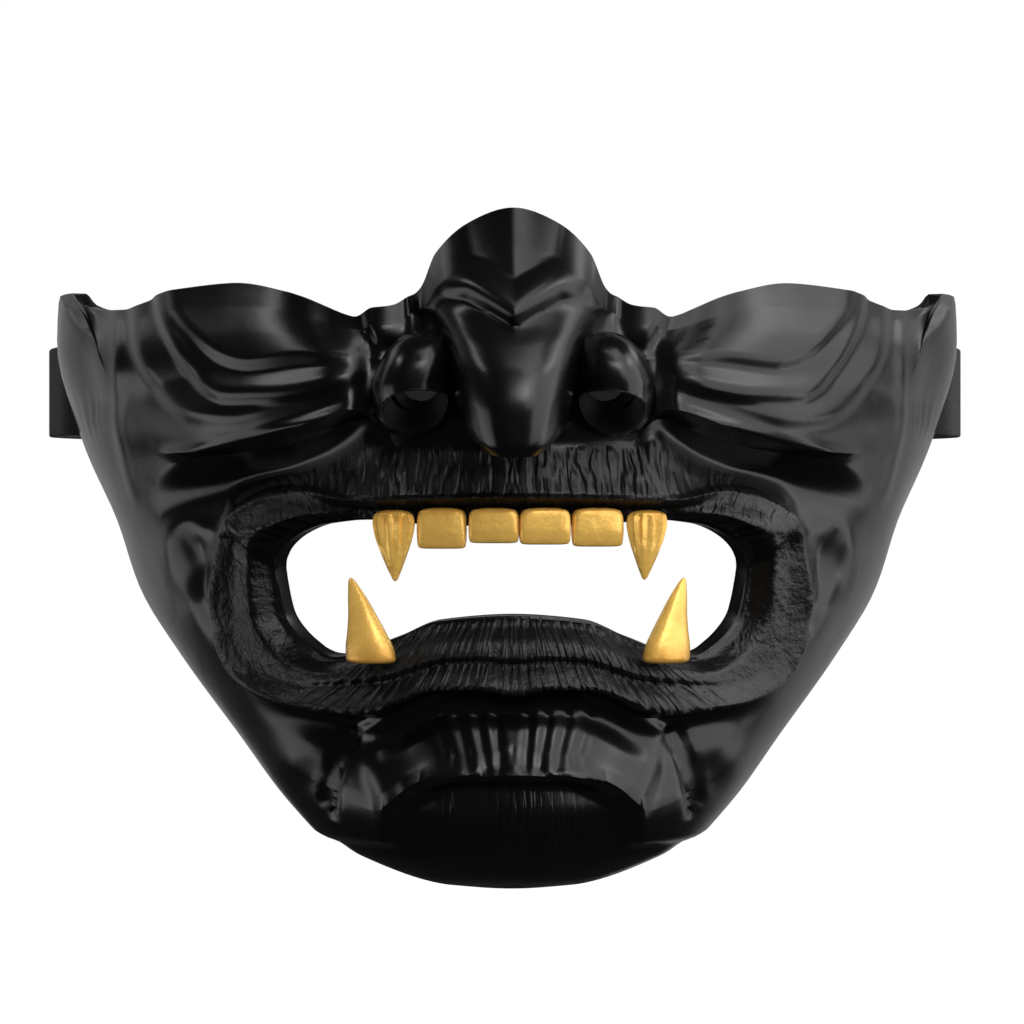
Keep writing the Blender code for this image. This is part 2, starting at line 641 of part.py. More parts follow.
def tooth_places(width, height, thickness, lean, form):
    """A tooth that hangs from the origin along -Z: its rings from root to tip."""
    angle = np.linspace(0, 2 * math.pi, TOOTH_SIDES, endpoint=False)
    power = 2 / TOOTH_POWER[form]
    ring_x = np.sign(np.cos(angle)) * np.abs(np.cos(angle)) ** power
    ring_y = np.sign(np.sin(angle)) * np.abs(np.sin(angle)) ** power
    along, wide, thick = np.array(TOOTH_FORMS[form]).T
    places = np.empty((len(along), TOOTH_SIDES, 3))
    places[..., 0] = np.outer(wide, ring_x) * width / 2 + (lean * along**1.5)[:, None]
    places[..., 1] = np.outer(thick, ring_y) * thickness / 2
    places[..., 2] = (-height * along)[:, None]
    return places


def tooth(row, shell_tree, shell_places):
    """One tooth, turned to the dental arch and set against the shell with the seat's gap."""
    name, across, width, root, tip, tip_across, thickness, form = row
    width *= HALF_WIDTH
    height = (root - tip) * MASK_HEIGHT
    places = tooth_places(width, abs(height), width * thickness, (tip_across - across) * HALF_WIDTH, form)
    if height < 0:
        places[..., 2] *= -1
        places = places[:, ::-1]
    x, z = across * HALF_WIDTH, CHIN + root * MASK_HEIGHT
    normal = face_normal(np.array([x]), np.array([z]))[0]
    turn = Matrix.Rotation(math.atan2(normal[0], -normal[1]), 3, "Z")
    places = places @ np.array(turn).T + (x, -face_depth(np.array([x]), np.array([z]))[0] - TOOTH_APPROACH, z)
    rings = len(places)
    mesh = bpy.data.meshes.new(name)
    corner = np.arange(rings * TOOTH_SIDES).reshape(rings, TOOTH_SIDES)
    after = np.roll(corner, -1, axis=1)
    faces = np.stack((corner[:-1], corner[1:], after[1:], after[:-1]), axis=-1).reshape(-1, 4).tolist()
    faces += [corner[0].tolist(), corner[-1][::-1].tolist()]
    places = places.reshape(-1, 3)
    places[:, 1] += seat_shift(places, faces, Vector((0, 1, 0)), shell_tree, shell_places)
    mesh.from_pydata(places.tolist(), [], faces)
    return new_object(name, mesh, GOLD, 40)


def strap(shell_tree, shell_places):
    """The elastic strap: each end lies flat on the inside of a temple wing, and the band goes round the head."""
    rise = np.linspace(-0.5, 0.5, STRAP_ROWS) * STRAP_WIDTH
    back = np.linspace(-STRAP_TAB, -TAB_CLEARANCE, TAB_STEPS)
    wall = np.empty((2, 2))
    for step, y in enumerate(back[[0, -1]]):
        for row, z in enumerate(rise[[0, -1]]):
            wall[step, row] = shell_tree.ray_cast(Vector((HALF_WIDTH / 2, y, z)), Vector((1, 0, 0)))[0].x
    along, over = np.meshgrid(np.linspace(0, 1, TAB_STEPS), np.linspace(0, 1, STRAP_ROWS), indexing="ij")
    tab = np.empty((TAB_STEPS, STRAP_ROWS, 3))
    low, high = (wall[0, row] + (wall[1, row] - wall[0, row]) * along for row in (0, 1))
    tab[..., 0] = low + (high - low) * over - STRAP_WIDTH / 2
    tab[..., 1] = back[:, None]
    tab[..., 2] = rise
    tab[..., 0] += seat_shift(tab.reshape(-1, 3), grid_faces(tab), Vector((1, 0, 0)), shell_tree, shell_places)
    past_rim = tab[-1:] * (1, 0, 1) + (0, RIM_CLEARANCE, 0)
    tab = np.concatenate((tab, past_rim))
    path = np.array(STRAP_PATH) * (HEAD_HALF_WIDTH, HEAD_DEPTH)
    free = np.empty((STRAP_STEPS, STRAP_ROWS, 3))
    for row, z in enumerate(rise):
        places = np.vstack((tab[-2:, row, :2], path))
        keys = np.concatenate(([0], np.cumsum(np.linalg.norm(np.diff(places, axis=0), axis=1))))
        at = np.linspace(keys[1], keys[-1], STRAP_STEPS + 1)[1:]
        free[:, row, 0] = smooth(keys, places[:, 0], at)
        free[:, row, 1] = smooth(keys, places[:, 1], at)
        free[:, row, 2] = z
    free[-1, :, 0] = 0
    obj = new_object("head_strap", grid_mesh("head_strap", np.vstack((tab, free))), ELASTIC, 50)
    mirror(obj)
    thickness = obj.modifiers.new("thickness", "SOLIDIFY")
    thickness.thickness = STRAP_THICKNESS
    thickness.offset = -1
    return obj


def main():
    """Builds the guard in its own collection."""
    for obj in list(bpy.data.objects):
        bpy.data.objects.remove(obj)
    for name in ("samurai_face_guard", "cutters"):
        bpy.context.scene.collection.children.link(bpy.data.collections.new(name))
    shell_tree, shell_places = finished_surface(shell())
    for row in TEETH:
        tooth(row, shell_tree, shell_places)
    strap(shell_tree, shell_places)


if __name__ == "__main__":
    main()
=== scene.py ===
"""Dresses the samurai face guard: a satin black cast shell, gold painted teeth and an elastic strap."""

import logging
import math
from collections.abc import Callable, Sequence
from dataclasses import dataclass
from enum import Enum

import bpy
import numpy as np
from mathutils import Matrix, Vector
from mathutils.bvhtree import BVHTree


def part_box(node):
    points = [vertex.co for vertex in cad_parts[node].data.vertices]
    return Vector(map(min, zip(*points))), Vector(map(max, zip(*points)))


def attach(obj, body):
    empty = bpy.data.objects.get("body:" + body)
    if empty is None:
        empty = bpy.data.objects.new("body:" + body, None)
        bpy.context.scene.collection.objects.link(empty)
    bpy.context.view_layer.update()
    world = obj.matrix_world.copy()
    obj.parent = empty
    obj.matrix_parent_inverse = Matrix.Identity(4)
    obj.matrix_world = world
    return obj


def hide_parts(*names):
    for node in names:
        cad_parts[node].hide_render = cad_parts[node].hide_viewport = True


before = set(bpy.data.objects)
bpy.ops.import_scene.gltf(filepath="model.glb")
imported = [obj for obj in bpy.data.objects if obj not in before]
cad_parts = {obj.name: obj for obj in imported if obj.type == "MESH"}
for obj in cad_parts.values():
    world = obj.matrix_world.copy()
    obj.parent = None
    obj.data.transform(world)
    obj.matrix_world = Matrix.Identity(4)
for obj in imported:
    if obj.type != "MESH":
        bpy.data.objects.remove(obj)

LOG = logging.getLogger("face_guard")
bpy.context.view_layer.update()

Array = np.ndarray
Rows = Sequence[Sequence[float]]
Pair = tuple[float, float]
Triple = tuple[float, float, float]

# Corners nearer than SAME_PLACE are one, and mirrored halves meet within SEAM_GAP, both in metres
SAME_PLACE = 1e-6
SEAM_GAP = 5e-5
MICROMETRES_PER_METRE = 1e6


def smooth_line(keys: Array, values: Array, at: Array) -> Array:
    """Reads a smooth line through chosen places that never overshoots them.

    Args:
        keys: Rising positions of the places.
        values: Their values.
        at: Where the line is read.

    Returns:
        The line's values there.
    """
    keys, values = np.asarray(keys, float), np.asarray(values, float)
    at = np.clip(at, keys[0], keys[-1])
    step = np.diff(keys)
    slope = np.diff(values) / step
    before, after = slope[:-1], slope[1:]
    same_way = before * after > 0
    first, second = 2 * step[1:] + step[:-1], step[1:] + 2 * step[:-1]
    mean = (first + second) / (
        first / np.where(same_way, before, 1) + second / np.where(same_way, after, 1)
    )
    tangent = np.concatenate(([slope[0]], np.where(same_way, mean, 0), [slope[-1]]))
    cell = np.clip(np.searchsorted(keys, at, side="right") - 1, 0, len(step) - 1)
    share = (at - keys[cell]) / step[cell]
    rest = 1 - share
    return (
        values[cell] * (1 + 2 * share) * rest**2
        + values[cell + 1] * (3 - 2 * share) * share**2
        + step[cell] * share * rest * (tangent[cell] * rest - tangent[cell + 1] * share)
    )


def fade(value: Array, low: float, high: float) -> Array:
    """Returns 0 below low, 1 above high and an even S between them."""
    share = np.clip((value - low) / (high - low), 0, 1)
    return share * share * (3 - 2 * share)


def larger(first: Array, second: Array, softness: float) -> Array:
    """Returns the larger of two heights, rounded where they cross."""
    overlap = np.clip(0.5 + 0.5 * (first - second) / softness, 0, 1)
    return second + (first - second) * overlap + softness * overlap * (1 - overlap)


def walked(places: Array) -> Array:
    """Returns how far along a line each of its places is, from 0."""
    return np.concatenate(([0], np.cumsum(np.linalg.norm(np.diff(places, axis=0), axis=1))))


class FoldKind(Enum):
    """The cross-section of a fold."""

    RIDGE = "ridge"
    ROLL = "roll"
    CREASE = "crease"
    STEP = "step"


@dataclass(frozen=True)
class Fold:
    """A fold along a path. A step stands out on the path's left and fades over its reach.

    The path's places are shares across and up the face, and the width and the reach are shares of the
    face's half width.
    """

    kind: FoldKind
    rise: float
    width: float
    path: Rows
    reach: float = 0.2
    on_nose: bool = False


@dataclass(frozen=True)
class Lobe:
    """A round swelling or hollow. A larger edge power gives it a softer edge.

    Its place and its half sizes are shares of the face's half width and height, and its tilt is in degrees.
    """

    across: float
    up: float
    half_width: float
    half_height: float
    rise: float
    tilt: float = 0.0
    edge: float = 2.0
    on_nose: bool = False


@dataclass(frozen=True)
class FaceShape:
    """The sculpted face as a loft round the mouth.

    Spokes run outwards from the mouth, from 0 over the nose to 22 under the chin. Rings cross them: 0 is
    the mouth's edge, 1 the border of the lips, 2 the line under the nose and the cheeks and across the
    chin, and 3 the rim. A place is a share of the half width across and a share of the height up from the
    chin. Folds, lobes, lips and the bridge rise in units of relief.
    """

    # Sizes in metres
    half_width: float = 0.095
    height: float = 0.136
    chin: float = -0.101184
    depth: float = 0.086
    nose_rise: float = 0.025
    unit: float = 0.010
    wall: float = 0.003
    blend: float = 0.0034
    foot: float = 0.0022

    # The plain face: how it turns from the front to the sides
    spokes: int = 22
    side_spoke: int = 11
    side_power: float = 1.8
    front_power: float = 0.58
    side_limit: float = 0.9999
    least_width: float = 0.02
    rim_samples: int = 400
    slope_steps: int = 450
    rim_crowding: float = 1.6
    rim_rings: Pair = (2.3, 3.0)
    rim_power: float = 1.5

    # The nose: its droop, its bridge's roof, its tip's cross-section and how far its sides fall
    droop: float = 0.25
    bridge_half_width: float = 0.225
    roof_slopes: Pair = (0.45, 0.55)
    roof_edge: float = 0.2
    roof_fall: float = 0.3
    tip_shoulder: float = 0.036
    shoulder_power: float = 0.8
    tip_power: float = 3.0
    tip_edge_power: float = 0.6
    tip_fall: float = 2.0

    # The cheek's edge beside the nose, and how the ends of the folds fade
    cheek_edge_rise: float = 0.70
    cheek_edge_reach: float = 0.10
    fold_end: float = 0.12
    path_samples: int = 25

    # Spokes and rings over which one form passes into the next
    edge_rings: Pair = (1.90, 2.02)
    top_spokes: Pair = (5.0, 7.5)
    bottom_spokes: Pair = (15.0, 18.0)
    nose_spokes: Pair = (6.0, 7.0)
    crowded_spokes: Pair = (7.0, 10.0)
    cheek_edge_start: Pair = (4.2, 5.1)
    cheek_edge_end: Pair = (6.4, 9.0)

    # Spokes and rings on which the inner face is worn back from the outer one
    worn_grid: tuple[int, int] = (67, 76)

    # The face's middle line seen from the side: share up, share of the depth
    profile: Rows = (
        (0.000, 0.700), (0.019, 0.790), (0.066, 0.884), (0.133, 0.942), (0.220, 0.953), (0.307, 0.965),
        (0.393, 0.988), (0.480, 1.000), (0.738, 1.000), (0.872, 0.977), (1.003, 0.907),
    )

    # Loops round the mouth: spoke, share across, share up, and for the rim its share of the depth
    mouth_edge: Rows = (
        (0, 0.000, 0.534), (3, 0.200, 0.537), (5, 0.310, 0.543), (7, 0.404, 0.537), (8, 0.466, 0.520),
        (9, 0.506, 0.494), (10, 0.521, 0.464), (12, 0.507, 0.404), (14, 0.446, 0.352), (15, 0.392, 0.338),
        (17, 0.262, 0.366), (19, 0.165, 0.394), (22, 0.000, 0.402),
    )
    lip_border: Rows = (
        (0, 0.000, 0.577), (3, 0.186, 0.575), (5, 0.307, 0.573), (7, 0.449, 0.589), (8, 0.515, 0.586),
        (9, 0.572, 0.564), (10, 0.604, 0.527), (12, 0.617, 0.425), (14, 0.572, 0.328), (16, 0.440, 0.276),
        (18, 0.291, 0.266), (20, 0.145, 0.302), (21, 0.072, 0.304), (22, 0.000, 0.295),
    )
    cheek_line: Rows = (
        (0, 0.000, 0.668), (2, 0.120, 0.668), (4, 0.244, 0.668), (5, 0.302, 0.702), (6, 0.416, 0.676),
        (7, 0.550, 0.651), (9, 0.745, 0.634), (10, 0.780, 0.622), (12, 0.757, 0.529), (14, 0.697, 0.387),
        (16, 0.508, 0.216), (18, 0.267, 0.132), (19, 0.197, 0.166), (20, 0.124, 0.192), (22, 0.000, 0.200),
    )
    rim: Rows = (
        (0, 0.000, 1.003, 0.930), (1, 0.099, 0.978, 0.920), (2, 0.162, 0.934, 0.890),
        (3, 0.192, 0.888, 0.870), (4, 0.236, 0.862, 0.860), (4.6, 0.284, 0.856, 0.850),
        (5, 0.315, 0.838, 0.835), (6, 0.449, 0.872, 0.790), (7, 0.567, 0.887, 0.700),
        (8, 0.711, 0.879, 0.540), (9, 0.830, 0.860, 0.360), (9.5, 0.900, 0.864, 0.200),
        (9.8, 0.938, 0.874, 0.110), (10, 0.960, 0.892, 0.065), (10.4, 0.990, 0.888, 0.020),
        (11, 0.998, 0.813, 0.000), (12, 0.938, 0.659, 0.000), (13, 0.861, 0.544, 0.070),
        (14, 0.804, 0.437, 0.140), (15, 0.710, 0.340, 0.250), (16, 0.582, 0.230, 0.390),
        (17, 0.452, 0.123, 0.520), (18, 0.317, 0.047, 0.630), (20, 0.126, 0.006, 0.690),
        (22, 0.000, 0.001, 0.700),
    )

    # The relief of the lips: ring, then its height above the mouth, at its corners and below it
    lips: Rows = (
        (0.00, -0.52, -0.46, -0.46), (0.12, -0.52, -0.42, -0.42), (0.22, -0.52, -0.18, -0.22),
        (0.32, -0.52, 0.02, 0.08), (0.50, -0.50, 0.06, 0.18), (0.62, -0.34, 0.08, 0.04),
        (0.80, -0.02, 0.18, 0.26), (0.93, 0.14, 0.26, 0.36), (1.00, 0.18, 0.18, 0.30),
        (1.08, 0.12, 0.02, -0.25), (1.30, 0.10, 0.00, -0.45), (1.60, 0.02, 0.00, -0.20),
        (2.00, 0.00, 0.00, 0.00),
    )

    # The nose's tip: share up, half width, share of the nose's rise
    nose_tip: Rows = (
        (0.655, 0.020, 0.82), (0.672, 0.080, 0.93), (0.695, 0.112, 0.99), (0.740, 0.130, 1.00),
        (0.790, 0.145, 0.94), (0.825, 0.156, 0.79), (0.850, 0.178, 0.61), (0.870, 0.200, 0.49),
        (0.890, 0.206, 0.46),
    )

    # The tip's upper edge: share across, share up
    tip_top: Rows = (
        (0.000, 0.908), (0.062, 0.914), (0.105, 0.921), (0.153, 0.917), (0.186, 0.892), (0.215, 0.852),
    )

    # The bridge: share up, rise in units of relief
    bridge_line: Rows = (
        (0.78, 0.00), (0.82, 0.90), (0.85, 1.42), (0.90, 1.25), (0.95, 0.95), (1.00, 0.55), (1.05, 0.45),
    )

    # Swellings, hollows and folds, the same on both sides
    lobes: Sequence[Lobe] = (
        Lobe(0.262, 0.842, 0.085, 0.066, 0.50, edge=1.8, on_nose=True),
        Lobe(0.470, 0.850, 0.420, 0.140, 0.26, tilt=-4),
        Lobe(0.560, 0.700, 0.360, 0.070, 0.20, tilt=-6),
        Lobe(0.500, 0.606, 0.300, 0.075, -0.85, tilt=-12),
        Lobe(0.660, 0.490, 0.070, 0.085, -0.22, tilt=20),
        Lobe(0.000, 0.235, 0.330, 0.060, -0.12),
        Lobe(0.000, 0.120, 0.300, 0.080, 0.16),
    )
    folds: Sequence[Fold] = (
        Fold(FoldKind.ROLL, 0.48, 0.042, ((0.000, 0.874), (0.050, 0.893), (0.099, 0.906), (0.147, 0.905),
                                          (0.184, 0.883), (0.210, 0.848)), on_nose=True),
        Fold(FoldKind.STEP, 0.16, 0.018, ((0.278, 0.774), (0.395, 0.775), (0.520, 0.768), (0.570, 0.777),
                                          (0.645, 0.815), (0.700, 0.865), (0.730, 0.940))),
        Fold(FoldKind.STEP, 0.25, 0.024, ((0.280, 0.764), (0.355, 0.737), (0.465, 0.727), (0.555, 0.727),
                                          (0.610, 0.738), (0.670, 0.775), (0.730, 0.850), (0.755, 0.930)),
             reach=0.07),
        Fold(FoldKind.STEP, 0.14, 0.024, ((0.280, 0.745), (0.355, 0.724), (0.430, 0.711), (0.540, 0.693),
                                          (0.630, 0.698), (0.720, 0.725), (0.790, 0.790), (0.815, 0.920)),
             reach=0.07),
        Fold(FoldKind.RIDGE, 0.06, 0.012, ((0.302, 0.708), (0.416, 0.682), (0.550, 0.657), (0.680, 0.646),
                                           (0.760, 0.640))),
        Fold(FoldKind.CREASE, 0.14, 0.014, ((0.310, 0.840), (0.290, 0.800), (0.296, 0.745), (0.290, 0.690))),
        Fold(FoldKind.RIDGE, 0.04, 0.014, ((0.852, 0.880), (0.842, 0.784), (0.842, 0.709), (0.832, 0.650),
                                           (0.800, 0.560))),
        Fold(FoldKind.CREASE, 0.10, 0.040, ((0.915, 0.880), (0.925, 0.780), (0.900, 0.690))),
        Fold(FoldKind.CREASE, 0.12, 0.020, ((0.705, 0.545), (0.680, 0.500), (0.655, 0.440), (0.600, 0.370))),
        Fold(FoldKind.STEP, 0.38, 0.034, ((0.640, 0.560), (0.590, 0.582), (0.500, 0.600), (0.389, 0.630),
                                          (0.263, 0.676)), reach=0.14),
        Fold(FoldKind.STEP, 0.34, 0.018, ((0.000, 0.167), (0.070, 0.167), (0.135, 0.164), (0.190, 0.156),
                                          (0.226, 0.136), (0.240, 0.100), (0.242, 0.060)), reach=0.25),
        Fold(FoldKind.RIDGE, 0.08, 0.024, ((0.000, 0.176), (0.070, 0.176), (0.135, 0.173), (0.186, 0.165),
                                           (0.212, 0.150))),
        Fold(FoldKind.STEP, 0.22, 0.030, ((0.236, 0.110), (0.290, 0.180), (0.332, 0.250))),
        Fold(FoldKind.RIDGE, 0.12, 0.060, ((0.735, 0.560), (0.655, 0.420), (0.520, 0.290), (0.380, 0.170))),
        Fold(FoldKind.CREASE, 0.050, 0.012, ((0.038, 0.268), (0.030, 0.222), (0.021, 0.176))),
        Fold(FoldKind.CREASE, 0.050, 0.012, ((0.080, 0.268), (0.062, 0.222), (0.046, 0.176))),
        Fold(FoldKind.CREASE, 0.050, 0.012, ((0.125, 0.268), (0.098, 0.222), (0.076, 0.179))),
        Fold(FoldKind.CREASE, 0.045, 0.012, ((0.172, 0.266), (0.142, 0.228), (0.115, 0.187))),
        Fold(FoldKind.CREASE, 0.10, 0.010, ((0.334, 0.244), (0.352, 0.180), (0.365, 0.108))),
        Fold(FoldKind.CREASE, 0.08, 0.010, ((0.353, 0.247), (0.370, 0.185), (0.381, 0.122))),
    )

    def loop_at(self, rows: Rows, spoke: Array) -> list[Array]:
        """Reads a loop's columns at each spoke, as if its mirror half carried it over the middle.

        Args:
            rows: The loop's table, with the spoke first and the place across second.
            spoke: Spokes to read.

        Returns:
            One array for each column after the spoke.
        """
        columns = np.array(rows, float).T
        turn = np.concatenate(([-columns[0][1]], columns[0], [2 * self.spokes - columns[0][-2]]))
        found = []
        for number, column in enumerate(columns[1:]):
            sign = -1 if number == 0 else 1
            carried = np.concatenate(([sign * column[1]], column, [sign * column[-2]]))
            found.append(smooth_line(turn, carried, spoke))
        return found

    def front_view(self, spoke: Array, ring: Array) -> tuple[Array, Array]:
        """Finds places as they are seen from the front.

        Args:
            spoke: Their spokes.
            ring: Their rings.

        Returns:
            Their X and Z in metres.
        """
        loops = [self.loop_at(rows, spoke)[:2]
                 for rows in (self.mouth_edge, self.lip_border, self.cheek_line, self.rim)]
        inner = np.clip(np.floor(ring), 0, 2).astype(int)
        share = ring - inner
        crowded = 1 - (1 - share) ** self.rim_crowding
        moved = share + (crowded - share) * fade(spoke, *self.crowded_spokes)
        share = np.where(inner == 2, moved, share)
        across, up = (
            np.choose(inner, [loops[k][axis] for k in range(3)]) * (1 - share)
            + np.choose(inner, [loops[k + 1][axis] for k in range(3)]) * share
            for axis in (0, 1)
        )
        return across * self.half_width, self.chin + up * self.height

    def face_depth(self, x: Array, z: Array) -> Array:
        """Measures how far in front of the rear rim the plain face lies.

        Args:
            x: X of the places to measure.
            z: Their Z.

        Returns:
            The depths in metres.
        """
        up = (z - self.chin) / self.height
        side_spokes = np.linspace(self.spokes, self.side_spoke, self.rim_samples)
        across, height, rim_depth = self.loop_at(self.rim, side_spokes)
        side_width = np.maximum(np.interp(up, height, across), self.least_width) * self.half_width
        rim = np.interp(up, height, rim_depth)
        front = smooth_line(*np.array(self.profile).T, up)
        side = np.clip(np.abs(x) / side_width, 0, self.side_limit)
        return self.depth * (rim + (front - rim) * (1 - side**self.side_power) ** self.front_power)

    def face_normal(self, x: Array, z: Array) -> Array:
        """Finds the plain face's outward normals.

        Args:
            x: X of the places.
            z: Their Z.

        Returns:
            One unit vector for each place.
        """
        step = self.half_width / self.slope_steps
        slope_x = (self.face_depth(x + step, z) - self.face_depth(x - step, z)) / (2 * step)
        slope_z = (self.face_depth(x, z + step) - self.face_depth(x, z - step)) / (2 * step)
        normal = np.stack((-slope_x, -np.ones_like(x), -slope_z), axis=-1)
        return normal / np.linalg.norm(normal, axis=-1, keepdims=True)

    def beside_path(self, path: Rows, x: Array, z: Array) -> tuple[Array, Array]:
        """Measures places against a smooth curve through a path.

        Args:
            path: The path's places, in shares.
            x: X of the places to measure.
            z: Their Z.

        Returns:
            Their distance to the curve, positive on its left, and the share of it walked at the nearest
            point.
        """
        places = np.array(path, float) * (self.half_width, self.height) + (0, self.chin)
        keys = walked(places)
        at = np.linspace(0, keys[-1], self.path_samples)
        line = np.stack([smooth_line(keys, places[:, axis], at) for axis in (0, 1)], axis=-1)
        start, run = line[:-1], np.diff(line, axis=0)
        place = np.stack((x, z), axis=-1).reshape(-1, 1, 2) - start
        share = np.clip((place * run).sum(-1) / (run * run).sum(-1), 0, 1)
        away = place - share[..., None] * run
        distance = np.linalg.norm(away, axis=-1)
        nearest = distance.argmin(axis=1)
        row = np.arange(len(nearest))
        side = np.sign(run[nearest, 0] * away[row, nearest, 1] - run[nearest, 1] * away[row, nearest, 0])
        along = (nearest + share[row, nearest]) / len(run)
        return (distance[row, nearest] * side).reshape(x.shape), along.reshape(x.shape)

    def fold_height(self, fold: Fold, x: Array, z: Array) -> Array:
        """Measures one fold's height.

        Args:
            fold: The fold.
            x: X of the places to measure.
            z: Their Z.

        Returns:
            Heights in units of relief.
        """
        distance, along = self.beside_path(fold.path, x, z)
        width = fold.width * self.half_width
        start = fade(along, 0.0, self.fold_end) if fold.path[0][0] > 0 else 1
        ends = start * fade(1 - along, 0.0, self.fold_end)
        if fold.kind is FoldKind.ROLL:
            return fold.rise * ends * np.clip(1 - (distance / width) ** 2, 0, 1)
        if fold.kind is FoldKind.STEP:
            above = np.exp(-np.maximum(distance, 0) / (fold.reach * self.half_width))
            return fold.rise * ends * fade(distance, -width, width) * above
        sign = -1 if fold.kind is FoldKind.CREASE else 1
        return sign * fold.rise * ends * np.exp(-((distance / width) ** 2))

    def lobe_height(self, lobe: Lobe, x: Array, z: Array) -> tuple[Array, Array]:
        """Measures one lobe's height.

        Args:
            lobe: The lobe.
            x: X of the places to measure.
            z: Their Z.

        Returns:
            Heights in units of relief, and how far out each place is as a share of the lobe's size.
        """
        turn = math.radians(lobe.tilt)
        dx = x - lobe.across * self.half_width
        dz = z - self.chin - lobe.up * self.height
        along = (dx * math.cos(turn) + dz * math.sin(turn)) / (lobe.half_width * self.half_width)
        over = (dz * math.cos(turn) - dx * math.sin(turn)) / (lobe.half_height * self.height)
        out = along**2 + over**2
        return lobe.rise * np.clip(1 - out, 0, 1) ** lobe.edge, np.sqrt(out)

    def tip_height(self, x: Array, z: Array) -> Array:
        """Measures how far the nose's tip stands out.

        Args:
            x: X of the places to measure.
            z: Their Z.

        Returns:
            Heights in metres, below nothing outside the tip's outline.
        """
        table = np.array(self.nose_tip).T
        up = (z - self.chin) / self.height
        half_width = smooth_line(table[0], table[1], up) * self.half_width
        rise = smooth_line(table[0], table[2], up) * self.nose_rise
        out = np.abs(x) / half_width
        below_top = smooth_line(*np.array(self.tip_top).T, np.abs(x) / self.half_width) - up
        shoulder = np.clip(1 - (1 - below_top / self.tip_shoulder).clip(0) ** 2, 0, 1)
        across = np.clip(1 - out**self.tip_power, 0, 1) ** self.tip_edge_power
        outside = np.maximum(out - 1, 0) * half_width + np.maximum(-below_top, 0) * self.height
        return rise * shoulder**self.shoulder_power * across - outside * self.tip_fall

    def nose_height(self, x: Array, z: Array) -> Array:
        """Measures how far the nose stands in front of the plain face.

        Args:
            x: X of the places to measure.
            z: Their Z.

        Returns:
            Heights in metres.
        """
        up = (z - self.chin) / self.height
        side = np.abs(x) / (self.bridge_half_width * self.half_width)
        roof = 1 - self.roof_slopes[0] * side - self.roof_slopes[1] * side**2
        inside = fade(roof, 0, self.roof_edge)
        beyond = self.roof_fall * np.maximum(-roof, 0)
        roof = roof * smooth_line(*np.array(self.bridge_line).T, up) - beyond
        folds = sum(self.fold_height(fold, x, z) for fold in self.folds if fold.on_nose)
        height = larger(self.tip_height(x, z), (roof + folds * inside) * self.unit, self.blend)
        for lobe in self.lobes:
            if lobe.on_nose:
                rise, away = self.lobe_height(lobe, x, z)
                height = larger(height, (rise - np.maximum(away - 1, 0)) * self.unit, self.blend)
        return larger(height, 0 * height, self.foot)

    def relief(self, x: Array, z: Array, spoke: Array, ring: Array) -> Array:
        """Measures how far lips, cheeks and chin stand out along the face's normal.

        Args:
            x: X of the places to measure.
            z: Their Z.
            spoke: Their spokes.
            ring: Their rings.

        Returns:
            Heights in metres.
        """
        table = np.array(self.lips).T
        upper, corner, lower = (smooth_line(table[0], column, ring) for column in table[1:])
        top, bottom = 1 - fade(spoke, *self.top_spokes), fade(spoke, *self.bottom_spokes)
        height = upper * top + lower * bottom + corner * (1 - top - bottom)
        height = height + sum(self.lobe_height(lobe, x, z)[0] for lobe in self.lobes if not lobe.on_nose)
        height = height + sum(self.fold_height(fold, x, z) for fold in self.folds if not fold.on_nose)
        along = fade(spoke, *self.cheek_edge_start) * (1 - fade(spoke, *self.cheek_edge_end))
        edge_z = self.chin + self.loop_at(self.cheek_line, spoke)[1] * self.height
        above = np.exp(-np.maximum(z - edge_z, 0) / (self.cheek_edge_reach * self.height))
        edge = self.cheek_edge_rise * along * above * fade(ring, *self.edge_rings)
        return (height + edge) * self.unit

    def heights(self, spoke: Array, ring: Array) -> tuple[Array, Array, Array, Array]:
        """Measures how far places stand out.

        Args:
            spoke: Their spokes.
            ring: Their rings.

        Returns:
            Their X and Z, their relief and their height on the nose.
        """
        x, z = self.front_view(spoke, ring)
        nose = self.nose_height(x, z) * fade(ring, *self.edge_rings) * (1 - fade(spoke, *self.nose_spokes))
        return x, z, self.relief(x, z, spoke, ring), nose

    def plain_face(self, x: Array, z: Array, spoke: Array, ring: Array) -> Array:
        """Lays places on the plain face, bent so that it ends at the rim's depth.

        Args:
            x: Their X.
            z: Their Z.
            spoke: Their spokes.
            ring: Their rings.

        Returns:
            The places, with the three axes last.
        """
        rim_x, rim_z = self.front_view(spoke, np.full_like(ring, 3.0))
        rim_shift = self.face_depth(rim_x, rim_z) - self.loop_at(self.rim, spoke)[2] * self.depth
        bend = fade(ring, *self.rim_rings) ** self.rim_power
        return np.stack((x, rim_shift * bend - self.face_depth(x, z), z), axis=-1)

    def raised(self, spoke: Array, ring: Array, rise: Array, nose: Array) -> Array:
        """Raises places from the plain face.

        Args:
            spoke: Their spokes.
            ring: Their rings.
            rise: How far each goes out along the face's normal.
            nose: How far each goes forwards with the nose.

        Returns:
            The places, with the three axes last.
        """
        x, z = self.front_view(spoke, ring)
        place = self.plain_face(x, z, spoke, ring) + self.face_normal(x, z) * rise[..., None]
        return place + np.array((0, -1, -self.droop)) * nose[..., None]

    def outer_face(self, spoke: Array, ring: Array) -> Array:
        """Returns the shell's outer face."""
        _, _, rise, nose = self.heights(spoke, ring)
        return self.raised(spoke, ring, rise, nose)

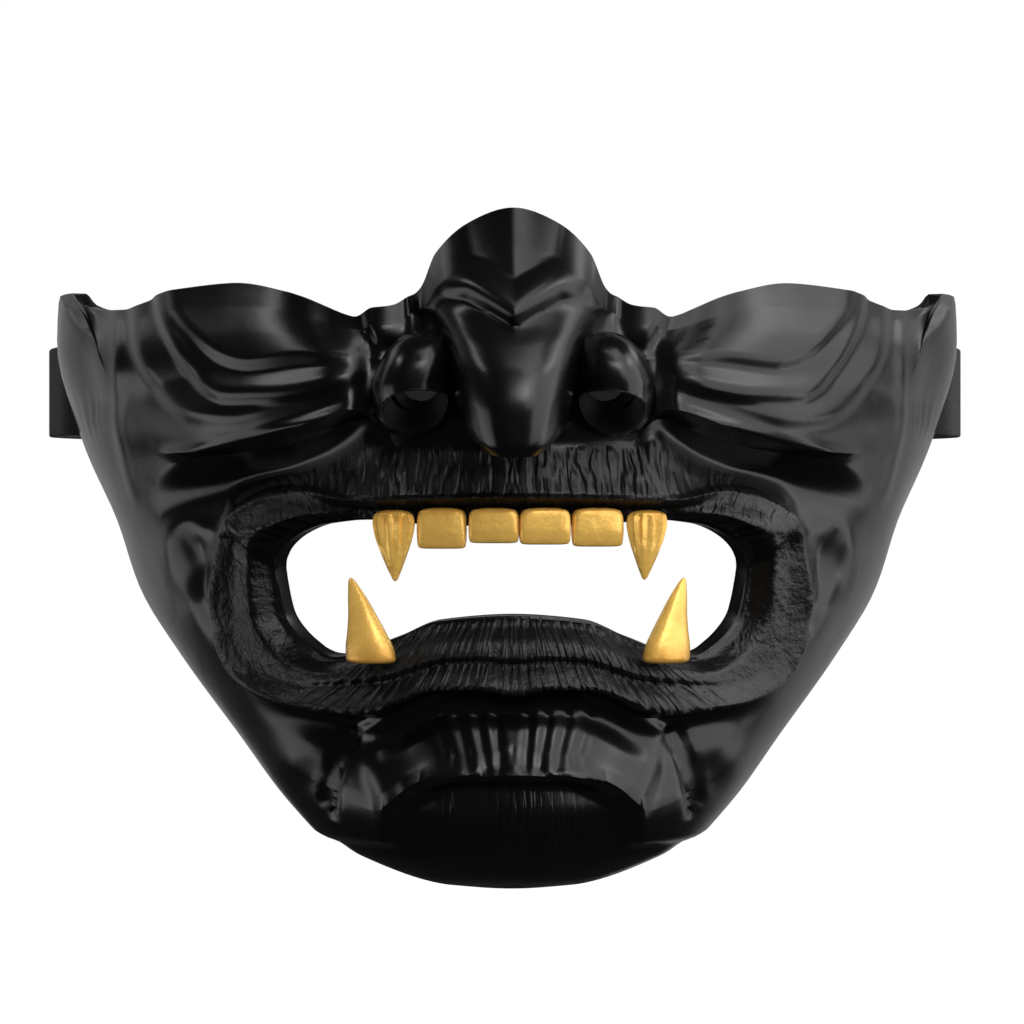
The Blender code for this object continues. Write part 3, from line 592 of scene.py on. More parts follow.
    def inner_face(self, spoke: Array, ring: Array) -> Array:
        """Lays the shell's inner face, worn back from the outer one by a ball as thick as the wall.

        Args:
            spoke: Spokes of a grid of places, one row for each.
            ring: Their rings, one column for each.

        Returns:
            The places, with the three axes last.
        """
        rows, columns = self.worn_grid
        coarse = np.meshgrid(np.linspace(0, self.spokes, rows), np.linspace(0, 3, columns), indexing="ij")
        x, z, rise, nose = self.heights(*coarse)
        plain = self.plain_face(x, z, *coarse).reshape(-1, 3)
        seen = np.stack((x.ravel(), z.ravel()), axis=-1)
        worn_rise = self.worn(rise, plain)
        worn_nose = np.clip(self.worn(nose, seen) + self.wall, 0, nose)
        found = []
        for worn in (worn_rise, worn_nose):
            rows = np.array([np.interp(ring[0], coarse[1][0], row) for row in worn])
            found.append(np.array([np.interp(spoke[:, 0], coarse[0][:, 0], column) for column in rows.T]).T)
        return self.raised(spoke, ring, *found)

    def worn(self, height: Array, place: Array) -> Array:
        """Wears a height field back from beneath by a ball as thick as the wall.

        Args:
            height: The field's heights.
            place: Where each height stands.

        Returns:
            The heights that are left.
        """
        flat = height.ravel()
        found = flat - self.wall
        for index in range(len(flat)):
            square = ((place - place[index]) ** 2).sum(-1)
            near = square < self.wall**2
            found[index] = min(found[index], (flat[near] - np.sqrt(self.wall**2 - square[near])).min())
        return found.reshape(height.shape)


def select_only(piece: bpy.types.Object) -> None:
    """Leaves one object selected and active.

    Args:
        piece: The object.
    """
    bpy.ops.object.select_all(action="DESELECT")
    piece.select_set(True)
    bpy.context.view_layer.objects.active = piece


def add_primitive(name: str, operator: Callable[..., set], **settings: object) -> bpy.types.Object:
    """Adds a Blender primitive under a new name.

    Args:
        name: The piece's name.
        operator: One of bpy.ops.mesh's primitive operators.
        settings: The operator's own settings.

    Returns:
        The new object, selected and active.
    """
    bpy.ops.object.select_all(action="DESELECT")
    operator(**settings)
    piece = bpy.context.active_object
    piece.name = piece.data.name = name
    return piece


def edit(piece: bpy.types.Object, *steps: Callable[[], object]) -> None:
    """Runs edit-mode operators on a whole piece.

    Args:
        piece: The piece.
        steps: The operators, in order.
    """
    select_only(piece)
    bpy.ops.object.mode_set(mode="EDIT")
    bpy.ops.mesh.select_all(action="SELECT")
    for step in steps:
        step()
    bpy.ops.object.mode_set(mode="OBJECT")


def merge_doubles() -> None:
    """Merges the selected corners that share a place."""
    bpy.ops.mesh.remove_doubles(threshold=SAME_PLACE)


def face_outwards() -> None:
    """Turns the selected faces outwards."""
    bpy.ops.mesh.normals_make_consistent(inside=False)


def apply_modifier(piece: bpy.types.Object, kind: str, **settings: object) -> None:
    """Adds a modifier and applies it.

    Args:
        piece: The piece.
        kind: The modifier's type.
        settings: The modifier's own settings.
    """
    select_only(piece)
    modifier = piece.modifiers.new(kind.lower(), kind)
    for name, value in settings.items():
        setattr(modifier, name, value)
    bpy.ops.object.modifier_apply(modifier=modifier.name)


def read_corners(piece: bpy.types.Object) -> Array:
    """Reads where a piece's corners are.

    Args:
        piece: The piece.

    Returns:
        One row for each corner, in their own order.
    """
    corners = np.empty(len(piece.data.vertices) * 3, np.float32)
    piece.data.vertices.foreach_get("co", corners)
    return corners.reshape(-1, 3).astype(float)


def place_corners(piece: bpy.types.Object, places: Array) -> None:
    """Moves a piece's corners to the given places, in their own order."""
    piece.data.vertices.foreach_set("co", np.asarray(places, np.float32).ravel())
    piece.data.update()


def grid_piece(name: str, places: Array) -> bpy.types.Object:
    """Adds a grid primitive and lays it through rows and columns of places.

    Args:
        name: The piece's name.
        places: An array of rows, columns and the three axes.

    Returns:
        The piece. Its UV map runs along the columns and then the rows.
    """
    rows, columns = places.shape[:2]
    piece = add_primitive(name, bpy.ops.mesh.primitive_grid_add, x_subdivisions=columns - 1,
                          y_subdivisions=rows - 1, size=2, calc_uvs=True)
    place_corners(piece, places)
    return piece


def store(piece: bpy.types.Object, name: str, values: Array) -> None:
    """Keeps one number for each corner of a piece, for its material."""
    layer = piece.data.attributes.new(name, "FLOAT", "POINT")
    layer.data.foreach_set("value", np.asarray(values, np.float32).ravel())


def shade(piece: bpy.types.Object, angle: float) -> None:
    """Shades a piece smooth except where it turns by more than an angle in degrees."""
    select_only(piece)
    bpy.ops.object.shade_smooth_by_angle(angle=math.radians(angle))


class Socket(Enum):
    """The kinds of socket that a node group has."""

    FLOAT = "NodeSocketFloat"
    VECTOR = "NodeSocketVector"


class NodeSheet:
    """A node tree that is written one node at a time."""

    def __init__(self, tree: bpy.types.NodeTree) -> None:
        """Takes the tree to write in."""
        self.tree = tree

    def node(self, kind: str, values: dict[str | int, object] | None = None,
             **settings: object) -> bpy.types.Node:
        """Adds a node.

        Args:
            kind: The node's type name, without its ShaderNode prefix.
            values: What each input is set to or linked from.
            settings: The node's own properties.

        Returns:
            The node.
        """
        made = self.tree.nodes.new("ShaderNode" + kind)
        for name, value in settings.items():
            setattr(made, name, value)
        for name, value in (values or {}).items():
            if isinstance(value, bpy.types.NodeSocket):
                self.tree.links.new(value, made.inputs[name])
            else:
                made.inputs[name].default_value = value
        return made

    def feed(self, node: bpy.types.Node, name: str, value: bpy.types.NodeSocket) -> None:
        """Links a value to one of a node's inputs."""
        self.tree.links.new(value, node.inputs[name])

    def maths(self, operation: str, first: object, second: object = 0.0,
              clamp: bool = False) -> bpy.types.NodeSocket:
        """Adds a Math node and returns its output."""
        return self.node("Math", {0: first, 1: second}, operation=operation, use_clamp=clamp).outputs[0]

    def between(self, factor: object, low: object, high: object) -> bpy.types.NodeSocket:
        """Adds a Map Range node from 0 to 1 onto low to high and returns its output."""
        return self.node("MapRange", {"Value": factor, "To Min": low, "To Max": high}).outputs[0]

    def spread(self, value: object, low: float, high: float) -> bpy.types.NodeSocket:
        """Adds a Map Range node from low to high onto 0 to 1 and returns its output."""
        return self.node("MapRange", {"Value": value, "From Min": low, "From Max": high}).outputs[0]

    def mix(self, factor: object, low: object, high: object) -> bpy.types.NodeSocket:
        """Adds a Mix node between two numbers and returns its output."""
        return self.node("Mix", {0: factor, 2: low, 3: high}).outputs[0]

    def colour(self, factor: object, low: object, high: Triple) -> bpy.types.NodeSocket:
        """Adds a Mix node from one colour, given or linked, to another and returns its output."""
        start = low if isinstance(low, bpy.types.NodeSocket) else (*low, 1.0)
        return self.node("Mix", {0: factor, 6: start, 7: (*high, 1.0)}, data_type="RGBA").outputs[2]

    def kept(self, name: str) -> bpy.types.NodeSocket:
        """Adds an Attribute node and returns its number."""
        return self.node("Attribute", attribute_name=name).outputs["Fac"]


def node_group(name: str, inputs: dict[str, Socket],
               outputs: dict[str, Socket]) -> tuple[NodeSheet, dict, dict]:
    """Makes an empty shader node group.

    Args:
        name: The group's name.
        inputs: Its inputs' names and kinds.
        outputs: Its outputs' names and kinds.

    Returns:
        The group's sheet, its inputs as sockets to read, and its outputs as sockets to fill.
    """
    tree = bpy.data.node_groups.new(name, "ShaderNodeTree")
    for label, kind in inputs.items():
        tree.interface.new_socket(name=label, in_out="INPUT", socket_type=kind.value)
    for label, kind in outputs.items():
        tree.interface.new_socket(name=label, in_out="OUTPUT", socket_type=kind.value)
    source, sink = tree.nodes.new("NodeGroupInput"), tree.nodes.new("NodeGroupOutput")
    return (NodeSheet(tree), {label: source.outputs[label] for label in inputs},
            {label: sink.inputs[label] for label in outputs})


def noise_group(name: str, output: str, detail: float, roughness: float, spread: Pair | None) -> None:
    """Makes a shared node group that draws noise of a given size.

    Args:
        name: The group's name.
        output: The name of what it puts out.
        detail: The noise's detail.
        roughness: The noise's roughness.
        spread: The values that become 0 and 1, or None to leave them.
    """
    inputs = {"Position": Socket.VECTOR, "Size": Socket.FLOAT}
    sheet, given, wanted = node_group(name, inputs, {output: Socket.FLOAT})
    values = {"Vector": given["Position"], "Scale": sheet.maths("DIVIDE", 1.0, given["Size"]),
              "Detail": detail, "Roughness": roughness}
    value = sheet.node("TexNoise", values).outputs["Fac"]
    if spread:
        value = sheet.spread(value, *spread)
    sheet.tree.links.new(value, wanted[output])


@dataclass(frozen=True)
class Finish:
    """What every finish starts from: a material with one shader, and the shared effects."""

    name: str

    def start(self) -> tuple[bpy.types.Material, NodeSheet, bpy.types.Node]:
        """Makes the material.

        Returns:
            The material, its sheet and its shader.
        """
        material = bpy.data.materials.new(self.name)
        material.use_nodes = True
        return material, NodeSheet(material.node_tree), material.node_tree.nodes["Principled BSDF"]

    def shared(self, sheet: NodeSheet, group: str, position: object, size: float) -> bpy.types.NodeSocket:
        """Places a shared effect in a material.

        Args:
            sheet: The material's sheet.
            group: The effect's name.
            position: Where the effect is read.
            size: How large its marks are, in metres.

        Returns:
            What the effect puts out.
        """
        values = {"Position": position, "Size": size}
        return sheet.node("Group", values, node_tree=bpy.data.node_groups[group]).outputs[0]

    def bump(self, sheet: NodeSheet, shader: bpy.types.Node, height: object, distance: float) -> None:
        """Raises the surface by a height, over any bump already there.

        Args:
            sheet: The material's sheet.
            shader: Its shader, whose normal is turned.
            height: The height, from 0 to 1.
            distance: How far 1 stands out, in metres.
        """
        links = shader.inputs["Normal"].links
        values = {"Height": height, "Distance": distance, "Strength": 1.0}
        if links:
            values["Normal"] = links[0].from_socket
        sheet.feed(shader, "Normal", sheet.node("Bump", values).outputs[0])


@dataclass(frozen=True)
class Lacquer(Finish):
    """Satin black over cast resin, rougher and combed with fine strokes round the lips, and dull inside."""

    colour: Triple = (0.0014, 0.0014, 0.0015)
    stroke_colour: Triple = (0.005, 0.005, 0.0052)
    inside_colour: Triple = (0.0022, 0.0022, 0.0023)
    roughness: Pair = (0.21, 0.31)
    stroke_roughness: float = 0.42
    inside_roughness: float = 0.62
    ior: float = 1.50
    specular: Pair = (0.50, 0.12)
    strokes: Triple = (9.0, 76.0, 1.0)
    stroke_range: Pair = (0.36, 0.64)
    mottle_size: float = 0.030
    grain_size: float = 0.0009
    hide_size: float = 0.0030
    grain_share: Pair = (0.10, 0.65)
    mottle_bump: float = 0.00012
    grain_bump: float = 0.00016
    hide_bump: float = 0.0006
    stroke_bump: float = 0.00048

    def comb(self, sheet: NodeSheet) -> bpy.types.NodeSocket:
        """Draws fine strokes that run outwards from the mouth.

        Args:
            sheet: The material's sheet.

        Returns:
            The strokes' height, from 0 to 1.
        """
        sweep = sheet.node("UVMap", uv_map="UVMap").outputs[0]
        stretched = sheet.node("Mapping", {"Vector": sweep, "Scale": self.strokes}).outputs[0]
        values = {"Vector": stretched, "Scale": 1.0, "Detail": 0.8, "Roughness": 0.5, "Distortion": 0.25}
        strokes = sheet.node("TexNoise", values, noise_dimensions="2D").outputs["Fac"]
        return sheet.spread(strokes, *self.stroke_range)

    def material(self) -> bpy.types.Material:
        """Makes the finish.

        Returns:
            The finished material.
        """
        material, sheet, shader = self.start()
        position = sheet.node("TexCoord").outputs["Object"]
        combed, inside, leather = (sheet.kept(name) for name in ("combed", "inside", "leather"))
        mottle = self.shared(sheet, "mottle", position, self.mottle_size)
        grain = self.shared(sheet, "grain", position, self.grain_size)
        hide = self.shared(sheet, "grain", position, self.hide_size)
        strokes = sheet.maths("MULTIPLY", combed, self.comb(sheet))

        coat = sheet.colour(strokes, self.colour, self.stroke_colour)
        sheet.feed(shader, "Base Color", sheet.colour(inside, coat, self.inside_colour))
        rough = sheet.mix(combed, sheet.between(mottle, *self.roughness), self.stroke_roughness)
        sheet.feed(shader, "Roughness", sheet.mix(inside, rough, self.inside_roughness))
        shader.inputs["IOR"].default_value = self.ior
        sheet.feed(shader, "Specular IOR Level", sheet.between(inside, *self.specular))

        self.bump(sheet, shader, mottle, self.mottle_bump)
        bare = sheet.between(sheet.maths("MAXIMUM", combed, inside), *self.grain_share)
        self.bump(sheet, shader, sheet.maths("MULTIPLY", grain, bare), self.grain_bump)
        self.bump(sheet, shader, sheet.maths("MULTIPLY", leather, hide), self.hide_bump)
        self.bump(sheet, shader, strokes, self.stroke_bump)
        return material


@dataclass(frozen=True)
class GoldPaint(Finish):
    """Gold paint over cast teeth, darker and redder where it lies thin at random, and darker towards each
    root as painted shade where the tooth meets the gum.
    """

    bright: Triple = (0.92, 0.57, 0.13)
    dark: Triple = (0.56, 0.28, 0.05)
    roughness: Pair = (0.20, 0.38)
    metallic: float = 0.42
    mottle_thins: float = 0.45
    # How far the gold darkens towards each tooth's root: painted shade where the tooth meets the gum
    root_shade: float = 0.60
    mottle_size: float = 0.0040
    grain_size: float = 0.0006
    mottle_bump: float = 0.00012
    grain_bump: float = 0.00004

    def material(self) -> bpy.types.Material:
        """Makes the finish.

        Returns:
            The finished material.
        """
        material, sheet, shader = self.start()
        position = sheet.node("TexCoord").outputs["Object"]
        mottle = self.shared(sheet, "mottle", position, self.mottle_size)
        grain = self.shared(sheet, "grain", position, self.grain_size)
        # The paint darkens where it lies thin at random, from the mottle, and towards each root as painted
        # shade at the gum
        thin_paint_and_root_shade = sheet.maths("ADD", sheet.maths("MULTIPLY", mottle, self.mottle_thins),
                           sheet.maths("MULTIPLY", sheet.kept("root"), self.root_shade), clamp=True)
        sheet.feed(shader, "Base Color", sheet.colour(thin_paint_and_root_shade, self.bright, self.dark))
        sheet.feed(shader, "Roughness", sheet.between(mottle, *self.roughness))
        shader.inputs["Metallic"].default_value = self.metallic
        self.bump(sheet, shader, mottle, self.mottle_bump)
        self.bump(sheet, shader, grain, self.grain_bump)
        return material


@dataclass(frozen=True)
class WovenElastic(Finish):
    """Black knitted elastic: fine ribs along the band, crossed by its weft."""

    low: Triple = (0.002, 0.002, 0.002)
    high: Triple = (0.010, 0.010, 0.011)
    rib: float = 0.0011
    weft: float = 0.0007
    roughness: float = 0.85
    sheen: float = 0.06
    sheen_roughness: float = 0.5
    mottle_size: float = 0.012
    mottle_share: Pair = (0.6, 1.0)
    weave_bump: float = 0.00022

    def material(self) -> bpy.types.Material:
        """Makes the finish.

        Returns:
            The finished material.
        """
        material, sheet, shader = self.start()
        position = sheet.node("TexCoord").outputs["Object"]
        mottle = self.shared(sheet, "mottle", position, self.mottle_size)
        sweep = sheet.node("SeparateXYZ", {0: sheet.node("UVMap", uv_map="UVMap").outputs[0]})
        along, over = (
            sheet.maths("SINE", sheet.maths("MULTIPLY", sweep.outputs[axis], 2 * math.pi / size))
            for axis, size in enumerate((self.weft, self.rib))
        )
        crossed = {0: sheet.maths("MULTIPLY", along, over), 1: 0.5, 2: 0.5}
        woven = sheet.node("Math", crossed, operation="MULTIPLY_ADD").outputs[0]
        tone = sheet.maths("MULTIPLY", woven, sheet.between(mottle, *self.mottle_share))
        sheet.feed(shader, "Base Color", sheet.colour(tone, self.low, self.high))
        shader.inputs["Roughness"].default_value = self.roughness
        shader.inputs["Sheen Weight"].default_value = self.sheen
        shader.inputs["Sheen Roughness"].default_value = self.sheen_roughness
        self.bump(sheet, shader, woven, self.weave_bump)
        return material


@dataclass(frozen=True)
class Combing:
    """Where fine strokes comb the shell: the spokes and rings over which they start and end."""

    lip_start: Pair = (0.02, 0.10)
    lip_end: Pair = (0.98, 1.08)
    corner_start: Pair = (7.0, 9.5)
    corner_end: Pair = (15.5, 17.5)
    corner_loss: float = 0.85
    moustache_start: Pair = (1.00, 1.10)
    moustache_spokes: Pair = (6.5, 8.5)
    moustache_edge: float = 1.84
    moustache_fade: float = 0.15
    narrowing: float = 0.55
    narrowing_spokes: Pair = (3.5, 8.0)
    chin_strength: float = 0.22
    chin_spokes: Pair = (19.0, 20.5)
    chin_start: Pair = (2.02, 2.15)
    chin_end: Pair = (2.60, 2.85)

    def on_lips(self, ring: Array) -> Array:
        """Returns 1 on the lips and 0 elsewhere."""
        return fade(ring, *self.lip_start) * (1 - fade(ring, *self.lip_end))

    def strength(self, spoke: Array, ring: Array) -> Array:
        """Finds how strongly each place is combed, round the lips, under the nose and on the chin.

        Args:
            spoke: Spokes of the places.
            ring: Their rings.

        Returns:
            Strengths from 0 to 1.
        """
        corner = fade(spoke, *self.corner_start) * (1 - fade(spoke, *self.corner_end))
        lips = (1 - self.corner_loss * corner) * self.on_lips(ring)
        edge = self.moustache_edge - self.narrowing * fade(spoke, *self.narrowing_spokes)
        moustache = fade(ring, *self.moustache_start) * (1 - fade(ring, edge - self.moustache_fade, edge))
        moustache = moustache * (1 - fade(spoke, *self.moustache_spokes))
        chin = self.chin_strength * fade(spoke, *self.chin_spokes) * fade(ring, *self.chin_start)
        return np.maximum(lips, moustache + chin * (1 - fade(ring, *self.chin_end)))


@dataclass
class MaskShell:
    """The cast shell: its sculpted outer face, its softer inner face, its rim and its nostrils.

    A row of steps gives the spoke or ring where it starts, the one where it ends, and their number.
    """

    shape: FaceShape
    combing: Combing = Combing()
    spoke_steps: Rows = ((0, 5, 70), (5, 10, 72), (10, 16, 32), (16, 19, 42), (19, 22, 66))
    ring_steps: Rows = ((0, 1, 30), (1, 1.9, 32), (1.9, 2.02, 1), (2.02, 2.86, 68), (2.86, 3, 1))
    inner_ring_steps: Rows = ((0, 1, 4), (1, 2, 5), (2, 2.86, 14), (2.86, 3, 1))
    wing_place: Triple = (0.0199, -0.0840, -0.0007)
    wing_size: Triple = (0.0076, 0.0145, 0.0104)
    wing_power: float = 2.5
    wing_lean: float = 0.25
    wing_steps: tuple[int, int] = (96, 64)
    nostril_place: Triple = (0.0190, -0.0945, -0.0060)
    nostril_size: Triple = (0.0066, 0.0050, 0.0175)
    nostril_slope: float = 22.0
    nostril_steps: tuple[int, int] = (64, 40)
    nostril_margin: float = 1.02
    sharp_angle: float = 35.0
    mark_names: tuple[str, ...] = ("combed", "inside", "leather")

    @property
    def nostril_turn(self) -> float:
        """Returns how far each nostril's egg is tipped over, in radians."""
        return -math.radians(90 - self.nostril_slope)

    @staticmethod
    def stepped(steps: Rows) -> Array:
        """Returns positions in even steps from one key to the next."""
        parts = [np.linspace(low, high, int(count), endpoint=False) for low, high, count in steps]
        return np.concatenate((*parts, [steps[-1][1]]))

    def loft(self) -> bpy.types.Object:
        """Lofts one half of the shell, marked where it is combed, inside and leathery.

        Returns:
            The half, open along the middle.
        """
        rings = self.stepped(self.ring_steps)
        spoke, ring = np.meshgrid(self.stepped(self.spoke_steps), rings, indexing="ij")
        inner_rings = self.stepped(self.inner_ring_steps)[::-1]
        spoke_in, ring_in = np.meshgrid(spoke[:, 0], inner_rings, indexing="ij")
        outer, inner = self.shape.outer_face(spoke, ring), self.shape.inner_face(spoke_in, ring_in)
        section = np.concatenate((outer, inner, outer[:, :1]), axis=1)
        section[[0, -1], :, 0] = 0
        half = grid_piece("mask_shell_sculpted", section)
        parts = (self.combing.strength(spoke, ring), 0 * ring, self.combing.on_lips(ring))
        for name, part, beyond in zip(self.mark_names, parts, (0, 1, 0)):
            marks = np.full(section.shape[:2], float(beyond))
            marks[:, :len(rings)] = part
            marks[:, -1] = marks[:, 0]
            store(half, name, marks)
        edit(half, merge_doubles)
        return half

    def build(self) -> bpy.types.Object:
        """Mirrors the half, joins the wings of the nose to it and pierces them.

        Returns:
            The closed shell with its marks.
        """
        shell = self.loft()
        apply_modifier(shell, "MIRROR", use_clip=True, merge_threshold=SEAM_GAP)
        edit(shell, face_outwards)
        marks = self.read_marks(shell)
        self.add_wings(shell)
        self.pierce(shell)
        self.keep_marks(shell, marks)
        shade(shell, self.sharp_angle)
        return shell

    @staticmethod
    def keys(piece: bpy.types.Object) -> list[tuple[int, ...]]:
        """Returns each corner's place in whole micrometres."""
        places = np.round(read_corners(piece) * MICROMETRES_PER_METRE).astype(int)
        return [tuple(place) for place in places.tolist()]

    def read_marks(self, shell: bpy.types.Object) -> dict[tuple[int, ...], list[float]]:
        """Returns the marks of each corner under its place."""
        values = [[item.value for item in shell.data.attributes[name].data] for name in self.mark_names]
        return dict(zip(self.keys(shell), zip(*values)))

    def keep_marks(self, shell: bpy.types.Object, marks: dict[tuple[int, ...], list[float]]) -> None:
        """Gives the old corners their marks again, and marks the nostrils' own corners as inside.

        Args:
            shell: The shell, with its wings and nostrils.
            marks: The marks of the old corners under their places.
        """
        for name in self.mark_names:
            shell.data.attributes.remove(shell.data.attributes[name])
        keys = self.keys(shell)
        places = np.array(keys) / MICROMETRES_PER_METRE
        places[:, 0] = np.abs(places[:, 0])
        turn = np.array(Matrix.Rotation(self.nostril_turn, 3, "X"))
        reach = np.linalg.norm((places - self.nostril_place) @ turn / self.nostril_size, axis=1)
        fresh = [(0.0, float(out < self.nostril_margin), 0.0) for out in reach]
        kept = [marks.get(key, new) for key, new in zip(keys, fresh)]
        for name, values in zip(self.mark_names, zip(*kept)):
            store(shell, name, np.array(values))

    def add_wings(self, shell: bpy.types.Object) -> None:
        """Joins the wings of the nose to the shell, each the front half of a squarish egg.

        Args:
            shell: The shell.
        """
        segments, rings = self.wing_steps
        wing = add_primitive("wing", bpy.ops.mesh.primitive_uv_sphere_add, segments=segments,
                             ring_count=rings, radius=1)
        corners = read_corners(wing)
        reach = (np.abs(corners) ** self.wing_power).sum(axis=1, keepdims=True) ** (1 / self.wing_power)
        corners = corners / reach * self.wing_size
        corners[:, 0] -= self.wing_lean * np.maximum(corners[:, 2], 0)
        corners[:, 1] = np.minimum(corners[:, 1], 0)
        place_corners(wing, corners + self.wing_place)
        edit(wing, merge_doubles, face_outwards)
        self.combine(shell, wing, "UNION")

    def pierce(self, shell: bpy.types.Object) -> None:
        """Cuts a nostril up into each wing with a long egg.

        Args:
            shell: The shell, with its wings.
        """
        segments, rings = self.nostril_steps
        egg = add_primitive("nostril", bpy.ops.mesh.primitive_uv_sphere_add, segments=segments,
                            ring_count=rings, radius=1, location=self.nostril_place,
                            rotation=(self.nostril_turn, 0, 0))
        egg.scale = self.nostril_size
        bpy.ops.object.transform_apply(location=True, rotation=True, scale=True)
        self.combine(shell, egg, "DIFFERENCE")

    @staticmethod
    def combine(shell: bpy.types.Object, tool: bpy.types.Object, operation: str) -> None:
        """Joins a tool and its mirror image to the shell, or cuts the shell with them.

        Args:
            shell: The shell.
            tool: The tool on one side, which is used up.
            operation: The Boolean modifier's operation.
        """
        apply_modifier(tool, "MIRROR")
        apply_modifier(shell, "BOOLEAN", operation=operation, solver="MANIFOLD", object=tool)
        bpy.data.objects.remove(tool)

    def dress(self, finish: Lacquer) -> None:
        """Builds the shell, gives it its finish and puts it in the place of the plain one.

        Args:
            finish: The shell's finish.
        """
        shell = self.build()
        shell.data.materials.clear()
        shell.data.materials.append(finish.material())
        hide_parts("mask_shell")
        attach(shell, "root")
        LOG.info("mask shell: %d faces", len(shell.data.polygons))


class ToothForm(Enum):
    """The outlines of the teeth, root to tip: shares of height, width and thickness."""

    INCISOR = (
        (0.00, 0.30, 0.30), (0.02, 0.62, 0.60), (0.08, 0.88, 0.90), (0.25, 0.98, 1.00), (0.55, 1.00, 0.96),
        (0.80, 0.99, 0.76), (0.93, 0.96, 0.56), (0.985, 0.86, 0.40), (1.00, 0.60, 0.20),
    )
    UPPER_FANG = (
        (0.00, 0.30, 0.30), (0.02, 0.66, 0.64), (0.07, 0.92, 0.92), (0.18, 1.00, 1.00), (0.36, 0.90, 0.92),
        (0.58, 0.66, 0.70), (0.78, 0.40, 0.44), (0.92, 0.20, 0.22), (0.98, 0.10, 0.11), (1.00, 0.03, 0.03),
    )
    LOWER_FANG = (
        (0.00, 0.72, 0.72), (0.02, 0.92, 0.92), (0.06, 1.00, 1.00), (0.18, 0.96, 0.98), (0.36, 0.78, 0.84),
        (0.56, 0.57, 0.64), (0.76, 0.38, 0.43), (0.90, 0.22, 0.25), (0.97, 0.12, 0.13), (1.00, 0.04, 0.04),
    )


@dataclass
class Tooth:
    """One cast tooth, turned to the dental arch and laid in the box of its plain solid.

    Its place across and its lean are shares of the face's half width, and its root and tip are shares of
    the face's height.
    """

    node: str
    across: float
    root: float
    tip: float
    lean: float
    form: ToothForm
    squareness: float
    flutes: float = 0.0
    fill: float = 1.0
    segments: int = 48
    rings: int = 40
    evenness: float = 0.35
    pole: float = 1e-6
    flute_count: int = 12
    flute_start: Pair = (0.02, 0.10)
    flute_end: Pair = (0.35, 0.85)
    # Over this share from root to tip, the painted shade at the gum fades out
    root_part: Pair = (0.03, 0.30)
    lean_power: float = 1.5
    fitting_rounds: int = 24
    fitting_power: float = 0.7
    sharp_angle: float = 60.0

    def unit_form(self, corners: Array) -> tuple[Array, Array]:
        """Makes the tooth's form, one unit wide, thick and high, from a ball.

        Args:
            corners: The corners of a ball with a radius of 1.

        Returns:
            The form's corners, and how far along from root to tip each one is.
        """
        ball = np.clip(corners[:, 2], -1, 1)
        along = 0.5 - 0.5 * ball * (self.evenness + (1 - self.evenness) * np.abs(ball))
        angle = np.arctan2(corners[:, 1], corners[:, 0])
        table = np.array(self.form.value).T
        pole = (along < self.pole) | (along > 1 - self.pole)
        wide, thick = (np.where(pole, 0, smooth_line(table[0], column, along)) for column in table[1:])
        ring_x, ring_y = (np.sign(way) * np.abs(way) ** (2 / self.squareness)
                          for way in (np.cos(angle), np.sin(angle)))
        flutes = self.flutes * (0.5 - 0.5 * np.cos(angle * self.flute_count))
        flute = 1 - flutes * (1 - fade(along, *self.flute_end)) * fade(along, *self.flute_start)
        up = along if self.tip > self.root else -along
        return np.stack((wide * ring_x * flute / 2, thick * ring_y * flute / 2, up), axis=-1), along

    def build(self, shape: FaceShape) -> bpy.types.Object:
        """Builds the tooth's mesh.

        Args:
            shape: The face, whose curve the tooth is turned to.

        Returns:
            The piece, marked with how near each place is to the root, where the gold is darkened as painted
            shade.
        """
        piece = add_primitive(self.node + "_sculpted", bpy.ops.mesh.primitive_uv_sphere_add,
                              segments=self.segments, ring_count=self.rings, radius=1)
        places, along = self.unit_form(read_corners(piece))
        low, high = (np.array(corner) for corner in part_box(self.node))
        x, z = self.across * shape.half_width, shape.chin + self.root * shape.height
        normal = shape.face_normal(np.array([x]), np.array([z]))[0]
        turn = np.array(Matrix.Rotation(math.atan2(normal[0], -normal[1]), 3, "Z"))
        lean = self.lean * shape.half_width * along**self.lean_power
        places = places * self.fitted_size(places, turn, lean, (high - low) * (self.fill, 1, 1))
        places[:, 0] += lean
        places = places @ turn.T
        places += (low + high) / 2 - (places.min(axis=0) + places.max(axis=0)) / 2
        place_corners(piece, places)
        if self.tip > self.root:
            edit(piece, bpy.ops.mesh.flip_normals)
        # The root mark darkens the gold towards the gum as painted shade
        store(piece, "root", 1 - fade(along, *self.root_part))
        shade(piece, self.sharp_angle)
        return piece

    def fitted_size(self, places: Array, turn: Array, lean: Array, room: Array) -> Array:
        """Finds the size at which a turned tooth fills its box.

        Args:
            places: The tooth's corners at one unit.
            turn: The matrix that turns it to the arch.
            lean: How far each corner leans across, in metres.
            room: The box's width, thickness and height.

        Returns:
            The tooth's own width, thickness and height.
        """
        size = np.array(room)
        for _ in range(self.fitting_rounds):
            tried = places * size
            tried[:, 0] += lean
            size *= (room / np.ptp(tried @ turn.T, axis=0)) ** self.fitting_power
        return size

    def dress(self, shape: FaceShape, material: bpy.types.Material) -> None:
        """Builds the tooth, gives it its finish and puts it in the place of the plain one.

        Args:
            shape: The face, whose curve the tooth is turned to.
            material: The teeth's shared finish.
        """
        piece = self.build(shape)
        piece.data.materials.append(material)
        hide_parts(self.node)
        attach(piece, "root")
        LOG.info("%s: %d faces", self.node, len(piece.data.polygons))


